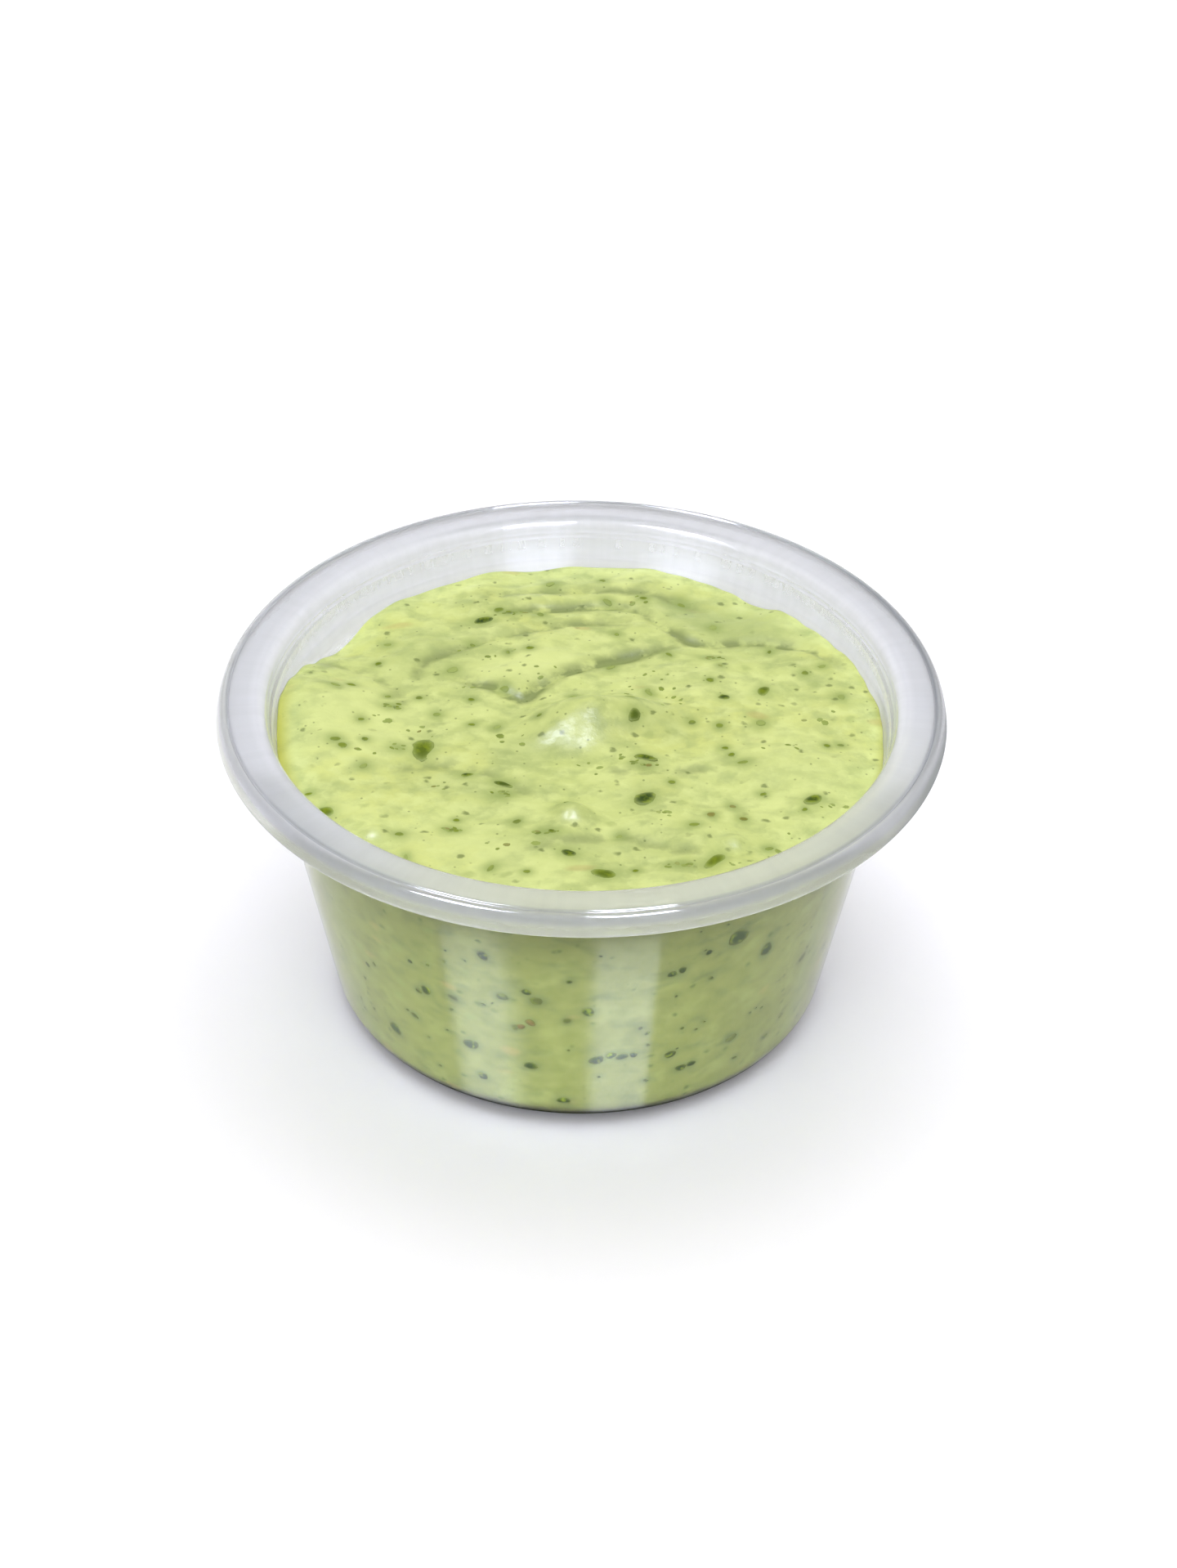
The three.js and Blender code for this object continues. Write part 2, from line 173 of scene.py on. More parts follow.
# Soft green smears, where fine herb has been wiped along: centre, length, width.
SMEARS = (
    ((-7.7, 21.1), 3.4, 1.0), ((-7.8, -11.6), 3.0, 1.4), ((-3.3, -17.7), 2.8, 0.8),
    ((6.4, -6.6), 2.6, 1.0), ((-18.4, -3.8), 1.8, 1.4), ((-19.6, 3.6), 2.0, 0.9),
    ((13.6, 12.9), 2.6, 0.9), ((-12.6, -16.8), 2.2, 0.8), ((9.7, -22.0), 2.6, 0.8),
)
# Pieces that show through the wall: azimuth in degrees, height, length, width, turn in degrees.
WALL_HERBS = (
    (-59, 25.1, 2.0, 1.4, 60), (-51, 21.2, 1.5, 1.0, 80), (-65, 24.2, 0.6, 0.5, 0),
    (-72, 22.2, 0.8, 0.6, 15), (-70, 22.5, 0.7, 0.6, 15), (-88, 17.7, 1.0, 0.9, 0),
    (-100, 20.2, 0.8, 0.6, -20), (-99.5, 15.6, 0.9, 0.6, -30), (-101.5, 14.8, 0.8, 0.5, 20),
    (-113, 10.3, 1.3, 1.1, -30), (-134, 7.2, 1.5, 0.9, -50), (-122, 16.5, 1.0, 0.8, -30),
    (-86, 10.2, 1.4, 0.8, 30), (-83.0, 10.8, 0.9, 0.7, 0), (-80.6, 10.5, 1.1, 0.7, 5),
    (-78.2, 10.6, 0.7, 0.6, 0), (-111, 5.6, 0.8, 0.7, 0), (-93, 3.7, 1.2, 0.6, -10),
    (-108, 24.6, 1.2, 0.7, -50), (-70, 9.6, 1.0, 0.7, 40), (-67, 7.0, 1.0, 0.6, 5),
    (-64.6, 7.2, 0.8, 0.6, 5), (-100, 8.8, 1.2, 0.7, 10),
)
BROWN_WALL_HERBS = ((-99.5, 15.6), (-101.5, 14.8))  # azimuth and height of the brown ones among them
SMALL_HERB_COUNT = 40
SMALL_HERB_LENGTH = (0.9, 1.7)
HERB_CANDIDATES = 12  # tries for each small piece, of which the loneliest is kept
HERB_ASPECT = (0.5, 0.9)  # width of a piece as a share of its length

# Kinds of piece: how much of its length and width shows, thickness, corners.
LARGE, MARK, SMALL = (0.95, 0.95, 0.07, 14), (1.05, 0.85, 0.05, 9), (0.75, 0.7, 0.05, 9)
CRUMB, WALL_PIECE, WALL_SPECK = (1.0, 1.0, 0.03, 7), (1.2, 1.45, 0.1, 12), (1.0, 1.0, 0.08, 7)
# Rings of a piece, from under the dip to its crown: share of its outline, share of its
# thickness, and how much of its colour the dip hides there.
LEAF_RINGS = ((1.04, -0.8, 0.9), (1.0, 0.0, 0.8), (0.82, 0.5, 0.4), (0.58, 0.85, 0.1), (0.3, 1.0, 0.0))
ON_TOP, AT_WALL = 1.0, 0.0
TOP_BLEED, WALL_BLEED = 0.45, 0.3  # how far the herbs' green bleeds into the dip
BROWN_CHANCE = 0.08
CLUSTER_SIZE = 4  # crumbs lie in clusters of so many
CLUSTER_SPREAD = (1.2, 0.7)
# Room between the wall and the small pieces, the clusters' middles and the crumbs, and between
# the dip's level and the highest speck at the wall.
HERB_MARGIN, CLUSTER_MARGIN, CRUMB_MARGIN, SPECK_MARGIN = 1.0, 2.5, 1.2, 1.7


# ---- Sizes and colours a user would change ---------------------------------------------------


def length(name, description, default):
    return bpy.props.FloatProperty(
        name=name, description=description, default=default, unit="LENGTH", precision=5
    )


def slant(name, description, degrees):
    return bpy.props.FloatProperty(
        name=name, description=description, default=math.radians(degrees), subtype="ANGLE"
    )


def colour(name, description, default):
    return bpy.props.FloatVectorProperty(
        name=name, description=description, default=default, size=3, subtype="COLOR", min=0.0, max=1.0
    )


def number(name, description, default):
    return bpy.props.IntProperty(name=name, description=description, default=default)


class CupSettings(bpy.types.PropertyGroup):
    height: length("Height", "From the base to the rim's top face", CUP_HIGH.z - CUP_LOW.z)
    lip_radius: length("Lip radius", "Widest point of the cup", CUP_HIGH.x)
    mouth_radius: length("Mouth radius", "Outer face of the side, carried up to the rim", 32.46 * MM)
    lean: slant("Lean", "Outward lean of the side", 10.97)
    wall: length("Wall", "Thickness of the side", 0.5 * MM)
    floor: length("Floor", "Thickness of the base", 0.6 * MM)
    base_corner: length("Base corner", "Outer radius between side and base", 3.7 * MM)
    flange_thickness: length("Flange thickness", "Thickness of the flat rim", 0.5 * MM)
    flange_inner: length("Flange inner radius", "Where the flat rim begins", 33.0 * MM)
    flange_outer: length("Flange outer radius", "Where the flat rim turns down", 35.83 * MM)
    lip_drop: length("Lip drop", "From the flange's face to the lip's edge", 2.27 * MM)
    lip_thickness: length("Lip thickness", "Thickness of the turned-down lip", 0.5 * MM)
    ledge: length("Ledge", "Height of the stacking ledge inside the cup", 31.9 * MM)
    ledge_step: length("Ledge step", "How far the side steps out above the ledge", 0.15 * MM)
    tint: colour("Tint", "Colour of the clear plastic", (0.71, 0.715, 0.72))
    haze: colour("Haze", "Colour of the milky share of the plastic", (0.380, 0.380, 0.385))
    inner_haze: colour("Wall haze", "The same on the side, inside the flange", (0.62, 0.62, 0.60))
    # Painted shade: the dark line round the base, where the floor under the cup lies in shadow.
    foot: colour("Foot", "Dark line round the base, where little light gets in", (0.025, 0.028, 0.004))
    # Painted shade on the lip, in the groove and on the flange's sides.
    painted_lip_shade: colour("Lip shade", "Greyer tone of the rounded lip", (0.13, 0.14, 0.135))
    # Painted shade at the lip's right edge and along the groove.
    painted_edge_shade: colour("Side edge", "Dark rim of the lip at the right side", (0.11, 0.125, 0.14))
    # Painted glow at the lip's edge and the flange's front, standing in for light from the dip.
    painted_edge_glow: colour("Edge glow", "Colour of the lip's edge, lit by the dip", (0.42, 0.44, 0.06))


class DipSettings(bpy.types.PropertyGroup):
    level: length("Level", "Where the dip meets the side, on average", 30.6 * MM)
    dome: length("Dome", "Middle of the dip over its edge", 0.8 * MM)
    reach_in: length("Reach into wall", "How far the dip runs into the wall, so no air shows", 0.03 * MM)
    body: colour("Body", "Main colour of the dip", (0.520, 0.582, 0.205))
    # Cream and Shade also colour the pale and dull patches, which are partly painted light and shade.
    cream: colour("Cream", "Paler, creamier streaks", (0.620, 0.680, 0.265))
    yellow: colour("Yellow", "Warmer, yellower patches", (0.590, 0.620, 0.180))
    ochre: colour("Ochre", "Oil gathered along the wall", (0.370, 0.375, 0.055))
    shade: colour("Shade", "Duller green smears", (0.330, 0.395, 0.140))
    stain: colour("Stain", "Green that has bled around the herbs", (0.250, 0.320, 0.085))
    # The side's colours are darker partly from the wet contact with the wall and partly as painted shade.
    deep_stain: colour("Deep stain", "The same where the dip is pressed to the wall", (0.070, 0.105, 0.040))
    pressed: colour("Pressed", "Deeper tone where the dip is pressed to the wall", (0.180, 0.195, 0.034))
    # Herb dust in the folds, and painted shade in the grooves.
    crease: colour("Crease", "Herb dust gathered in the folds", (0.230, 0.275, 0.095))
    # Painted shade: the dark line where the dip turns under at the base.
    foot: colour("Foot", "Dark line where the dip turns under at the base", (0.075, 0.085, 0.030))
    fleck: colour("Fleck", "Fine herb flecks under the surface", (0.11, 0.15, 0.03))
    spice: colour("Spice", "Warm spots", (0.42, 0.30, 0.10))


class HerbSettings(bpy.types.PropertyGroup):
    leaf: colour("Leaf", "Chopped green leaf", (0.165, 0.222, 0.008))
    dark_leaf: colour("Dark leaf", "Darkest leaf", (0.024, 0.050, 0.006))
    brown: colour("Brown", "Brown and reddish specks", (0.19, 0.12, 0.03))
    veil: colour("Veil", "Dip that thinly covers a piece", (0.335, 0.405, 0.122))
    # Darker partly as painted shade on the side, like the pressed dip.
    wall_veil: colour("Wall veil", "The same where the dip is pressed to the wall", (0.150, 0.172, 0.030))
    crumb_count: number("Crumbs", "Tiny crumbs of herb on the top", 90)
    wall_count: number("Wall pieces", "Small pieces at the wall", 180)


class StageSettings(bpy.types.PropertyGroup):
    camera_distance: length("Camera distance", "From the middle of the rim", 345 * MM)
    camera_elevation: slant("Camera elevation", "Angle above the rim", 35.1036)
    floor_colour: colour("Floor", "Colour of the floor", (0.945, 0.935, 0.965))


# ---- Mesh helpers ----------------------------------------------------------------------------


def finish_mesh(bm, name, smooth=True):
    """Turns a bmesh into an object at the origin and returns it."""
    mesh = bpy.data.meshes.new(name)
    bm.to_mesh(mesh)
    bm.free()
    mesh.polygons.foreach_set("use_smooth", [smooth] * len(mesh.polygons))
    piece = bpy.data.objects.new(name, mesh)
    bpy.context.scene.collection.objects.link(piece)
    return piece


def spun(outline, steps):
    """A closed solid of revolution about Z from an outline of (radius, height) pairs."""
    bm = bmesh.new()
    verts = [bm.verts.new((radius, 0.0, height)) for radius, height in outline]
    for start, end in zip(verts, verts[1:]):
        bm.edges.new((start, end))
    bmesh.ops.spin(
        bm, geom=bm.verts[:] + bm.edges[:], cent=(0, 0, 0), axis=(0, 0, 1),
        angle=2 * math.pi, steps=steps, use_merge=True,
    )
    bmesh.ops.remove_doubles(bm, verts=bm.verts, dist=1e-6)
    bmesh.ops.recalc_face_normals(bm, faces=bm.faces)
    return bm


def arc(centre, radius, start, end, steps):
    """Points on a circle in the radius and height plane, angles in degrees."""
    points = []
    for step in range(steps + 1):
        angle = math.radians(start + (end - start) * step / steps)
        points.append((centre[0] + radius * math.cos(angle), centre[1] + radius * math.sin(angle)))
    return points


def bend(start, control, end, steps):
    """Points on a quadratic curve."""
    points = []
    for step in range(steps + 1):
        t = step / steps
        points.append(tuple(
            (1 - t) ** 2 * a + 2 * t * (1 - t) * b + t * t * c for a, b, c in zip(start, control, end)
        ))
    return points


# ---- The cup ---------------------------------------------------------------------------------

CUP_STEPS = 256
CUP_CORNER_STEPS = 12
UNDER_FILLET = 0.8 * MM  # rounding between the side and the flange's underside
INNER_FILLET = 1.05 * MM  # height of the rounding inside the mouth
LEDGE_RISE = 0.5 * MM
LEDGE_FOOT = 0.25 * MM
RING_RISE = 0.08 * MM  # size of the fine moulded rings inside the mouth
RING_DEPTHS = (1.45, 2.0)  # of those rings under the rim, in millimetres


class Side:
    """Radii of the cup's side at a height."""

    def __init__(self, cup):
        self.cup = cup
        self.slope = math.tan(cup.lean)
        self.stretch = math.hypot(1, self.slope)

    def outer(self, z):
        return self.cup.mouth_radius + (z - self.cup.height) * self.slope

    def inner(self, z, inset=0.0):
        return self.outer(z) - (self.cup.wall + inset) * self.stretch

    def mouth(self, z):
        """The inner face over the ledge."""
        return self.inner(z) + self.cup.ledge_step

    def corner(self, radius_at, floor, radius):
        """Centre of the rounding between a floor and the side."""
        height = floor + radius
        return radius_at(height) - radius * self.stretch, height


def underside_outline(cup, side):
    """From the middle of the base up the outer face to the foot of the lip."""
    under = cup.height - cup.flange_thickness
    corner = side.corner(side.outer, 0.0, cup.base_corner)
    fillet_foot = under - UNDER_FILLET
    outline = [(0.0, 0.0), (corner[0] * 0.5, 0.0)]
    outline += arc(corner, cup.base_corner, -90, -math.degrees(cup.lean), CUP_CORNER_STEPS)
    outline += bend(
        (side.outer(fillet_foot), fillet_foot), (side.outer(under), under),
        (side.outer(under) + UNDER_FILLET, under), 6,
    )
    outline += bend(
        (cup.flange_outer - 0.85 * MM, under), (cup.flange_outer - 0.35 * MM, under),
        (cup.flange_outer - 0.15 * MM, under - 0.5 * MM), 5,
    )
    return outline


def lip_outline(cup):
    """Round the lip's edge, over the lip and through the groove to the flange's face."""
    top, half = cup.height, cup.lip_thickness / 2
    groove = cup.flange_outer - 0.08 * MM
    outline = arc((cup.lip_radius - half, top - cup.lip_drop + 0.25 * MM), half, -180, 0, 8)
    outline += bend(
        (cup.lip_radius - 0.10 * MM, top - 1.5 * MM), (cup.flange_outer + 0.75 * MM, top - 0.02 * MM),
        (groove + 0.28 * MM, top - 0.02 * MM), 8,
    )
    outline += bend(
        (groove + 0.18 * MM, top - 0.06 * MM), (groove, top - 0.5 * MM), (groove - 0.2 * MM, top), 6
    )
    return outline


def inside_outline(cup, side):
    """From the flange down the inner face, past the rings and the ledge, to the middle of the floor."""
    top = cup.height
    inner_foot = top - INNER_FILLET
    ledge_top = cup.ledge + LEDGE_RISE
    corner = side.corner(side.inner, cup.floor, cup.base_corner - cup.wall)
    outline = bend(
        (cup.flange_inner + 0.25 * MM, top), (side.mouth(top), top), (side.mouth(inner_foot), inner_foot), 8
    )
    for depth in RING_DEPTHS:
        ring = top - depth * MM
        outline += [
            (side.mouth(ring), ring + RING_RISE),
            (side.mouth(ring) - RING_RISE, ring),
            (side.mouth(ring), ring - RING_RISE),
        ]
    outline += bend(
        (side.mouth(ledge_top), ledge_top), (side.mouth(cup.ledge), cup.ledge),
        (side.inner(cup.ledge - LEDGE_FOOT), cup.ledge - LEDGE_FOOT), 4,
    )
    outline += arc(corner, cup.base_corner - cup.wall, -math.degrees(cup.lean), -90, CUP_CORNER_STEPS)
    outline += [(corner[0] * 0.5, cup.floor), (0.0, cup.floor)]
    return outline


class DIPCUP_OT_cup(bpy.types.Operator):
    """Makes the clear cup with its flange and lip"""

    bl_idname = "dipcup.cup"
    bl_label = "Clear cup"

    def execute(self, context):
        cup = context.scene.dipcup_cup
        side = Side(cup)
        outline = underside_outline(cup, side) + lip_outline(cup) + inside_outline(cup, side)
        piece = finish_mesh(spun(outline, CUP_STEPS), "clear_cup")
        piece.data.materials.append(clear_plastic(cup))
        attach(piece, "root")
        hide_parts("cup")
        return {"FINISHED"}


# ---- The dip's top ---------------------------------------------------------------------------


def smoothstep(value, low, high):
    t = np.clip((value - low) / (high - low), 0.0, 1.0)
    return t * t * (3 - 2 * t)


def turned(x, y, turn):
    """Distances along and across a direction at so many degrees."""
    angle = math.radians(turn)
    return x * math.cos(angle) + y * math.sin(angle), y * math.cos(angle) - x * math.sin(angle)


def apart(azimuth, centre):
    """Degrees from a centre round the axis, -180 to 180."""
    return (azimuth - centre + 180) % 360 - 180


def spline(path, samples):
    """Points and directions along a smooth curve through the path, as the solid's folds have them."""
    path = np.array(path, dtype=float)
    last = len(path) - 1
    share = np.linspace(0.0, 1.0, samples + 1)
    place = share * last
    first = np.minimum(place.astype(int), last)
    t = (place - first)[:, None]
    p0, p1 = path[np.maximum(first - 1, 0)], path[first]
    p2, p3 = path[np.minimum(first + 1, last)], path[np.minimum(first + 2, last)]
    v0, v1 = (p2 - p0) / 2, (p3 - p1) / 2
    points = (2 * p1 - 2 * p2 + v0 + v1) * t**3 + (-3 * p1 + 3 * p2 - 2 * v0 - v1) * t**2 + v0 * t + p1
    directions = np.gradient(points, axis=0)
    return share, points, directions / np.linalg.norm(directions, axis=1)[:, None]


def edge_wave(x, y, share):
    azimuth = np.degrees(np.arctan2(y, x))
    total = np.zeros_like(x)
    for centre, spread, rise in EDGE_WAVES:
        total += rise * np.exp(-((apart(azimuth, centre) / spread) ** 2))
    return total * smoothstep(share, EDGE_WAVE_REACH, 1.0)


def mound(x, y, centre, size, turn, rise, steep):
    along, across = turned(x - centre[0], y - centre[1], turn)
    return rise * np.exp(-(((along / size[0]) ** 2 + (across / size[1]) ** 2) ** steep))


def ripple(x, y, height, wave, turn, phase):
    return height * np.sin(2 * math.pi * turned(x, y, turn)[0] / wave + phase)


def fold(x, y, track, depth, width, lap, reach):
    """Height of a fold, and how deep in its groove a point lies."""
    share, points, directions = track
    nearest = np.hypot(x[:, None] - points[:, 0], y[:, None] - points[:, 1]).argmin(axis=1)
    dx, dy = x - points[nearest, 0], y - points[nearest, 1]
    across = directions[nearest, 0] * dy - directions[nearest, 1] * dx
    beyond = np.abs(directions[nearest, 0] * dx + directions[nearest, 1] * dy)
    spacing = np.hypot(*(points[1] - points[0]))
    distance = np.hypot(across, np.maximum(0.0, beyond - spacing))
    side = np.sign(across) * distance
    along = share[nearest]
    ends = smoothstep(along, 0, FOLD_END_FADE) * smoothstep(1 - along, 0, FOLD_END_FADE)
    groove = ends * np.exp(-((distance / width) ** 2))
    high = side if lap >= 0 else -side
    step = abs(lap) * smoothstep(high, 0, LAP_WIDTH * width) * np.exp(-distance / reach)
    return ends * step - depth * groove, groove * depth / CREASE_DEPTH


class Top:
    """Height of the dip's top over a point, all in millimetres."""

    def __init__(self, cup, dip):
        self.level = dip.level / MM
        self.dome = dip.dome / MM
        self.rim = Side(cup).inner(dip.level, 0.3 * MM) / MM
        self.folds = [(spline(path, FOLD_SAMPLES), *form) for path, *form in FOLDS.values()]

    def height(self, x, y):
        x, y = np.atleast_1d(np.asarray(x, float)), np.atleast_1d(np.asarray(y, float))
        share = np.minimum(1.0, np.hypot(x, y) / self.rim)
        z = self.level + self.dome * (1 - share**2) + edge_wave(x, y, share)
        for form in MOUNDS.values():
            z += mound(x, y, *form)
        for form in RIPPLES:
            z += ripple(x, y, *form)
        for form in self.folds:
            z += fold(x, y, *form)[0]
        return z

    def crease(self, x, y):
        """How deep in a fold a point lies, 0 to about 1."""
        return sum(fold(x, y, *form)[1] for form in self.folds)

    def normal(self, x, y):
        step = 0.3
        slope_x = (self.height(x + step, y) - self.height(x - step, y))[0] / (2 * step)
        slope_y = (self.height(x, y + step) - self.height(x, y - step))[0] / (2 * step)
        return Vector((-slope_x, -slope_y, 1.0)).normalized()


# ---- The dip ---------------------------------------------------------------------------------

DIP_STEPS = 200  # doubled once the outline is spun
DIP_RINGS = 72
SIDE_BANDS = 22
FOOT_STEPS = 6
EDGE_BAND = 2.0 * MM  # height of the side's last band under the level
SAME_HEIGHT = 1e-7
DIP_LAYERS = ("crease", "pressed", "stain", "paler_and_lit", "duller_and_shaded", "oily")


def dip_outline(cup, dip):
    side = Side(cup)

    def radius_at(z):
        return side.inner(z, -dip.reach_in)

    foot = cup.floor - dip.reach_in
    corner = side.corner(radius_at, foot, cup.base_corner - cup.wall)
    outline = [(0.0, foot)]
    outline += [(corner[0] * ring / FOOT_STEPS, foot) for ring in range(1, FOOT_STEPS)]
    outline += arc(corner, cup.base_corner - cup.wall, -90, -math.degrees(cup.lean), FOOT_STEPS)
    bottom, top = outline[-1][1], dip.level - EDGE_BAND
    for band in range(1, SIDE_BANDS + 1):
        height = bottom + (top - bottom) * band / SIDE_BANDS
        outline.append((radius_at(height), height))
    rim = radius_at(dip.level)
    outline += [(rim * ring / DIP_RINGS, dip.level) for ring in range(DIP_RINGS, -1, -1)]
    return outline


def edge_line(top, dip, side, azimuth):
    """Radius and height at which the dip's top meets the wall, where its edge rises and falls."""
    round_the_wall = np.linspace(-math.pi, math.pi, 721)
    edge = np.full(len(round_the_wall), dip.level)
    for _ in range(4):
        reach = side.inner(edge, -dip.reach_in)
        edge = top.height(reach * np.cos(round_the_wall) / MM, reach * np.sin(round_the_wall) / MM) * MM
    radius = side.inner(edge, -dip.reach_in)
    return np.interp(azimuth, round_the_wall, radius), np.interp(azimuth, round_the_wall, edge)


def patches(x, y):
    """How pale and how dull the top is at points in millimetres, partly tone and partly painted light and
    shade.
    """
    pale, dull = np.zeros_like(x), np.zeros_like(x)
    for centre, size, turn, amount in TONE_AND_LIGHT_PATCHES:
        target = pale if amount > 0 else dull
        np.maximum(target, mound(x, y, centre, size, turn, abs(amount), PATCH_STEEPNESS), out=target)
    return pale, dull


def oil_along_wall(azimuth, share):
    """How much oil lies at points near the wall, by azimuth in radians and share of the radius."""
    oil = np.zeros_like(share)
    for centre, spread, width, strength in OILY_EDGES:
        around = np.exp(-((apart(np.degrees(azimuth), centre) / spread) ** 4))
        oil = np.maximum(oil, strength * around * smoothstep(share, 1 - width, 1))
    return oil


def bled(along, across, size, width, bleed):
    """How strongly a piece of a size stains points at distances along and across it, in millimetres."""
    reach = (along / (size / 2 + bleed)) ** 2 + (across / (width / 2 + bleed)) ** 2
    return np.exp(-reach)


def top_stain(top, x, y):
    """Green around the herbs on the top."""
    herbs = [*LARGE_HERBS, *small_herbs(top)]
    herbs += [(at, size, 0.8 * size, 0.0) for at, size in MARKS]
    herbs += [(at, size, width, 0.0) for at, size, width in SMEARS]
    stain = np.zeros_like(x)
    for at, size, width, turn in herbs:
        along, across = turned(x - at[0], y - at[1], turn)
        stain = np.maximum(stain, bled(along, across, size, width, TOP_BLEED))
    return stain


def wall_specks(cup, dip, count):
    """The small pieces at the wall, as WALL_HERBS has them."""
    rng = random.Random(SEEDS["wall specks"])
    low, high = (cup.floor + cup.base_corner) / MM, dip.level / MM - SPECK_MARGIN
    specks = []
    for _ in range(count):
        size = 0.35 + 1.0 * rng.random() ** 3
        width = size * rng.uniform(*HERB_ASPECT)
        specks.append((rng.uniform(-180, 180), rng.uniform(low, high), size, width, rng.gauss(0, 30)))
    return specks


def wall_stain(place, herbs):
    """Green around the herbs at the wall, at places in metres."""
    azimuth = np.degrees(np.arctan2(place[:, 1], place[:, 0]))
    radius = np.hypot(place[:, 0], place[:, 1]) / MM
    stain = np.zeros(len(place))
    for centre, z, size, width, turn in herbs:
        round_it = np.radians(apart(azimuth, centre)) * radius
        along, across = turned(round_it, place[:, 2] / MM - z, turn)
        strength = min(1.0, 0.1 + 0.8 * size)
        stain = np.maximum(stain, strength * bled(along, across, size, width, WALL_BLEED))
    return stain


def follow_edge(bm, top, dip, side):
    """Keeps the middle of the side's last band under the edge, where the edge dips."""
    foot = dip.level - EDGE_BAND
    middle = [vert for vert in bm.verts if abs(vert.co.z - foot - EDGE_BAND / 2) < SAME_HEIGHT]
    azimuth = np.array([math.atan2(vert.co.y, vert.co.x) for vert in middle])
    height = (foot + edge_line(top, dip, side, azimuth)[1]) / 2
    radius = side.inner(height, -dip.reach_in)
    for vert, *co in zip(middle, radius * np.cos(azimuth), radius * np.sin(azimuth), height):
        vert.co = co


def fold_top(bm, cup, dip, wall_herbs):
    """Moves the flat top's vertices onto the folded surface, its edge along the wall."""
    top, side = Top(cup, dip), Side(cup)
    layers = {name: bm.verts.layers.float.new(name) for name in DIP_LAYERS}
    around = wall_stain(np.array([vert.co[:] for vert in bm.verts]), wall_herbs)
    for vert, green in zip(bm.verts, around):
        vert[layers["pressed"]] = 1.0
        vert[layers["stain"]] = green
    follow_edge(bm, top, dip, side)
    flat = [vert for vert in bm.verts if abs(vert.co.z - dip.level) < SAME_HEIGHT]
    place = np.array([vert.co[:2] for vert in flat])
    azimuth = np.arctan2(place[:, 1], place[:, 0])
    share = np.hypot(place[:, 0], place[:, 1]) / side.inner(dip.level, -dip.reach_in)
    reach = share * edge_line(top, dip, side, azimuth)[0]
    x, y = reach * np.cos(azimuth), reach * np.sin(azimuth)
    z = top.height(x / MM, y / MM) * MM
    over = (x / MM, y / MM)
    oil = oil_along_wall(azimuth, share)
    values = (top.crease(*over), 0.0 * share, top_stain(top, *over), *patches(*over), oil)
    for vert, co, marks in zip(flat, zip(x, y, z), zip(*values)):
        vert.co = co
        for name, mark in zip(DIP_LAYERS, marks):
            vert[layers[name]] = mark


class DIPCUP_OT_dip(bpy.types.Operator):
    """Makes the folded, creamy dip up to the wall"""

    bl_idname = "dipcup.dip"
    bl_label = "Herb dip"

    def execute(self, context):
        cup, dip = context.scene.dipcup_cup, context.scene.dipcup_dip
        bm = spun(dip_outline(cup, dip), DIP_STEPS)
        bmesh.ops.subdivide_edges(bm, edges=bm.edges, cuts=1, use_grid_fill=True)
        specks = wall_specks(cup, dip, context.scene.dipcup_herbs.wall_count)
        fold_top(bm, cup, dip, (*WALL_HERBS, *specks))
        bmesh.ops.recalc_face_normals(bm, faces=bm.faces)
        piece = finish_mesh(bm, "herb_dip")
        piece.data.materials.append(creamy_dip(dip))
        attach(piece, "root")
        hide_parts("dip")
        return {"FINISHED"}


# ---- The chopped herbs -----------------------------------------------------------------------


class SeededDraw:
    """The small seeded generator that the solid's herb pieces are placed with."""

    def __init__(self, seed):
        self.state = seed

    def __call__(self):
        self.state += 0x6D2B79F5
        t = self.state & 0xFFFFFFFF
        t = ((t ^ (t >> 15)) * (t | 1)) & 0xFFFFFFFF
        t ^= (t + (((t ^ (t >> 7)) * (t | 61)) & 0xFFFFFFFF)) & 0xFFFFFFFF
        return ((t ^ (t >> 14)) & 0xFFFFFFFF) / 4294967296

    def between(self, low, high):
        return low + (high - low) * self()


def small_herbs(top):
    """The smaller pieces that the solid carries too: centre, length, width, turn."""
    draw = SeededDraw(SEEDS["small herbs"])
    placed = [herb[0] for herb in LARGE_HERBS]
    herbs = []
    for _ in range(SMALL_HERB_COUNT):
        best = None
        for _ in range(HERB_CANDIDATES):
            azimuth = 2 * math.pi * draw()
            radius = (top.rim - HERB_MARGIN - SMALL_HERB_LENGTH[1]) * math.sqrt(draw())
            at = (radius * math.cos(azimuth), radius * math.sin(azimuth))
            room = min(math.dist(at, other) for other in placed)
            if best is None or room > best[1]:
                best = (at, room)
        size = draw.between(*SMALL_HERB_LENGTH)
        width = size * draw.between(*HERB_ASPECT)
        herbs.append((best[0], size, width, 360 * draw()))
        placed.append(best[0])
    return herbs


def uneven(angle, swell, notch):
    """How far a chopped piece's outline stands out at an angle."""
    return 1.0 + 0.09 * math.sin(2 * angle + swell) + 0.07 * math.sin(3 * angle + notch)


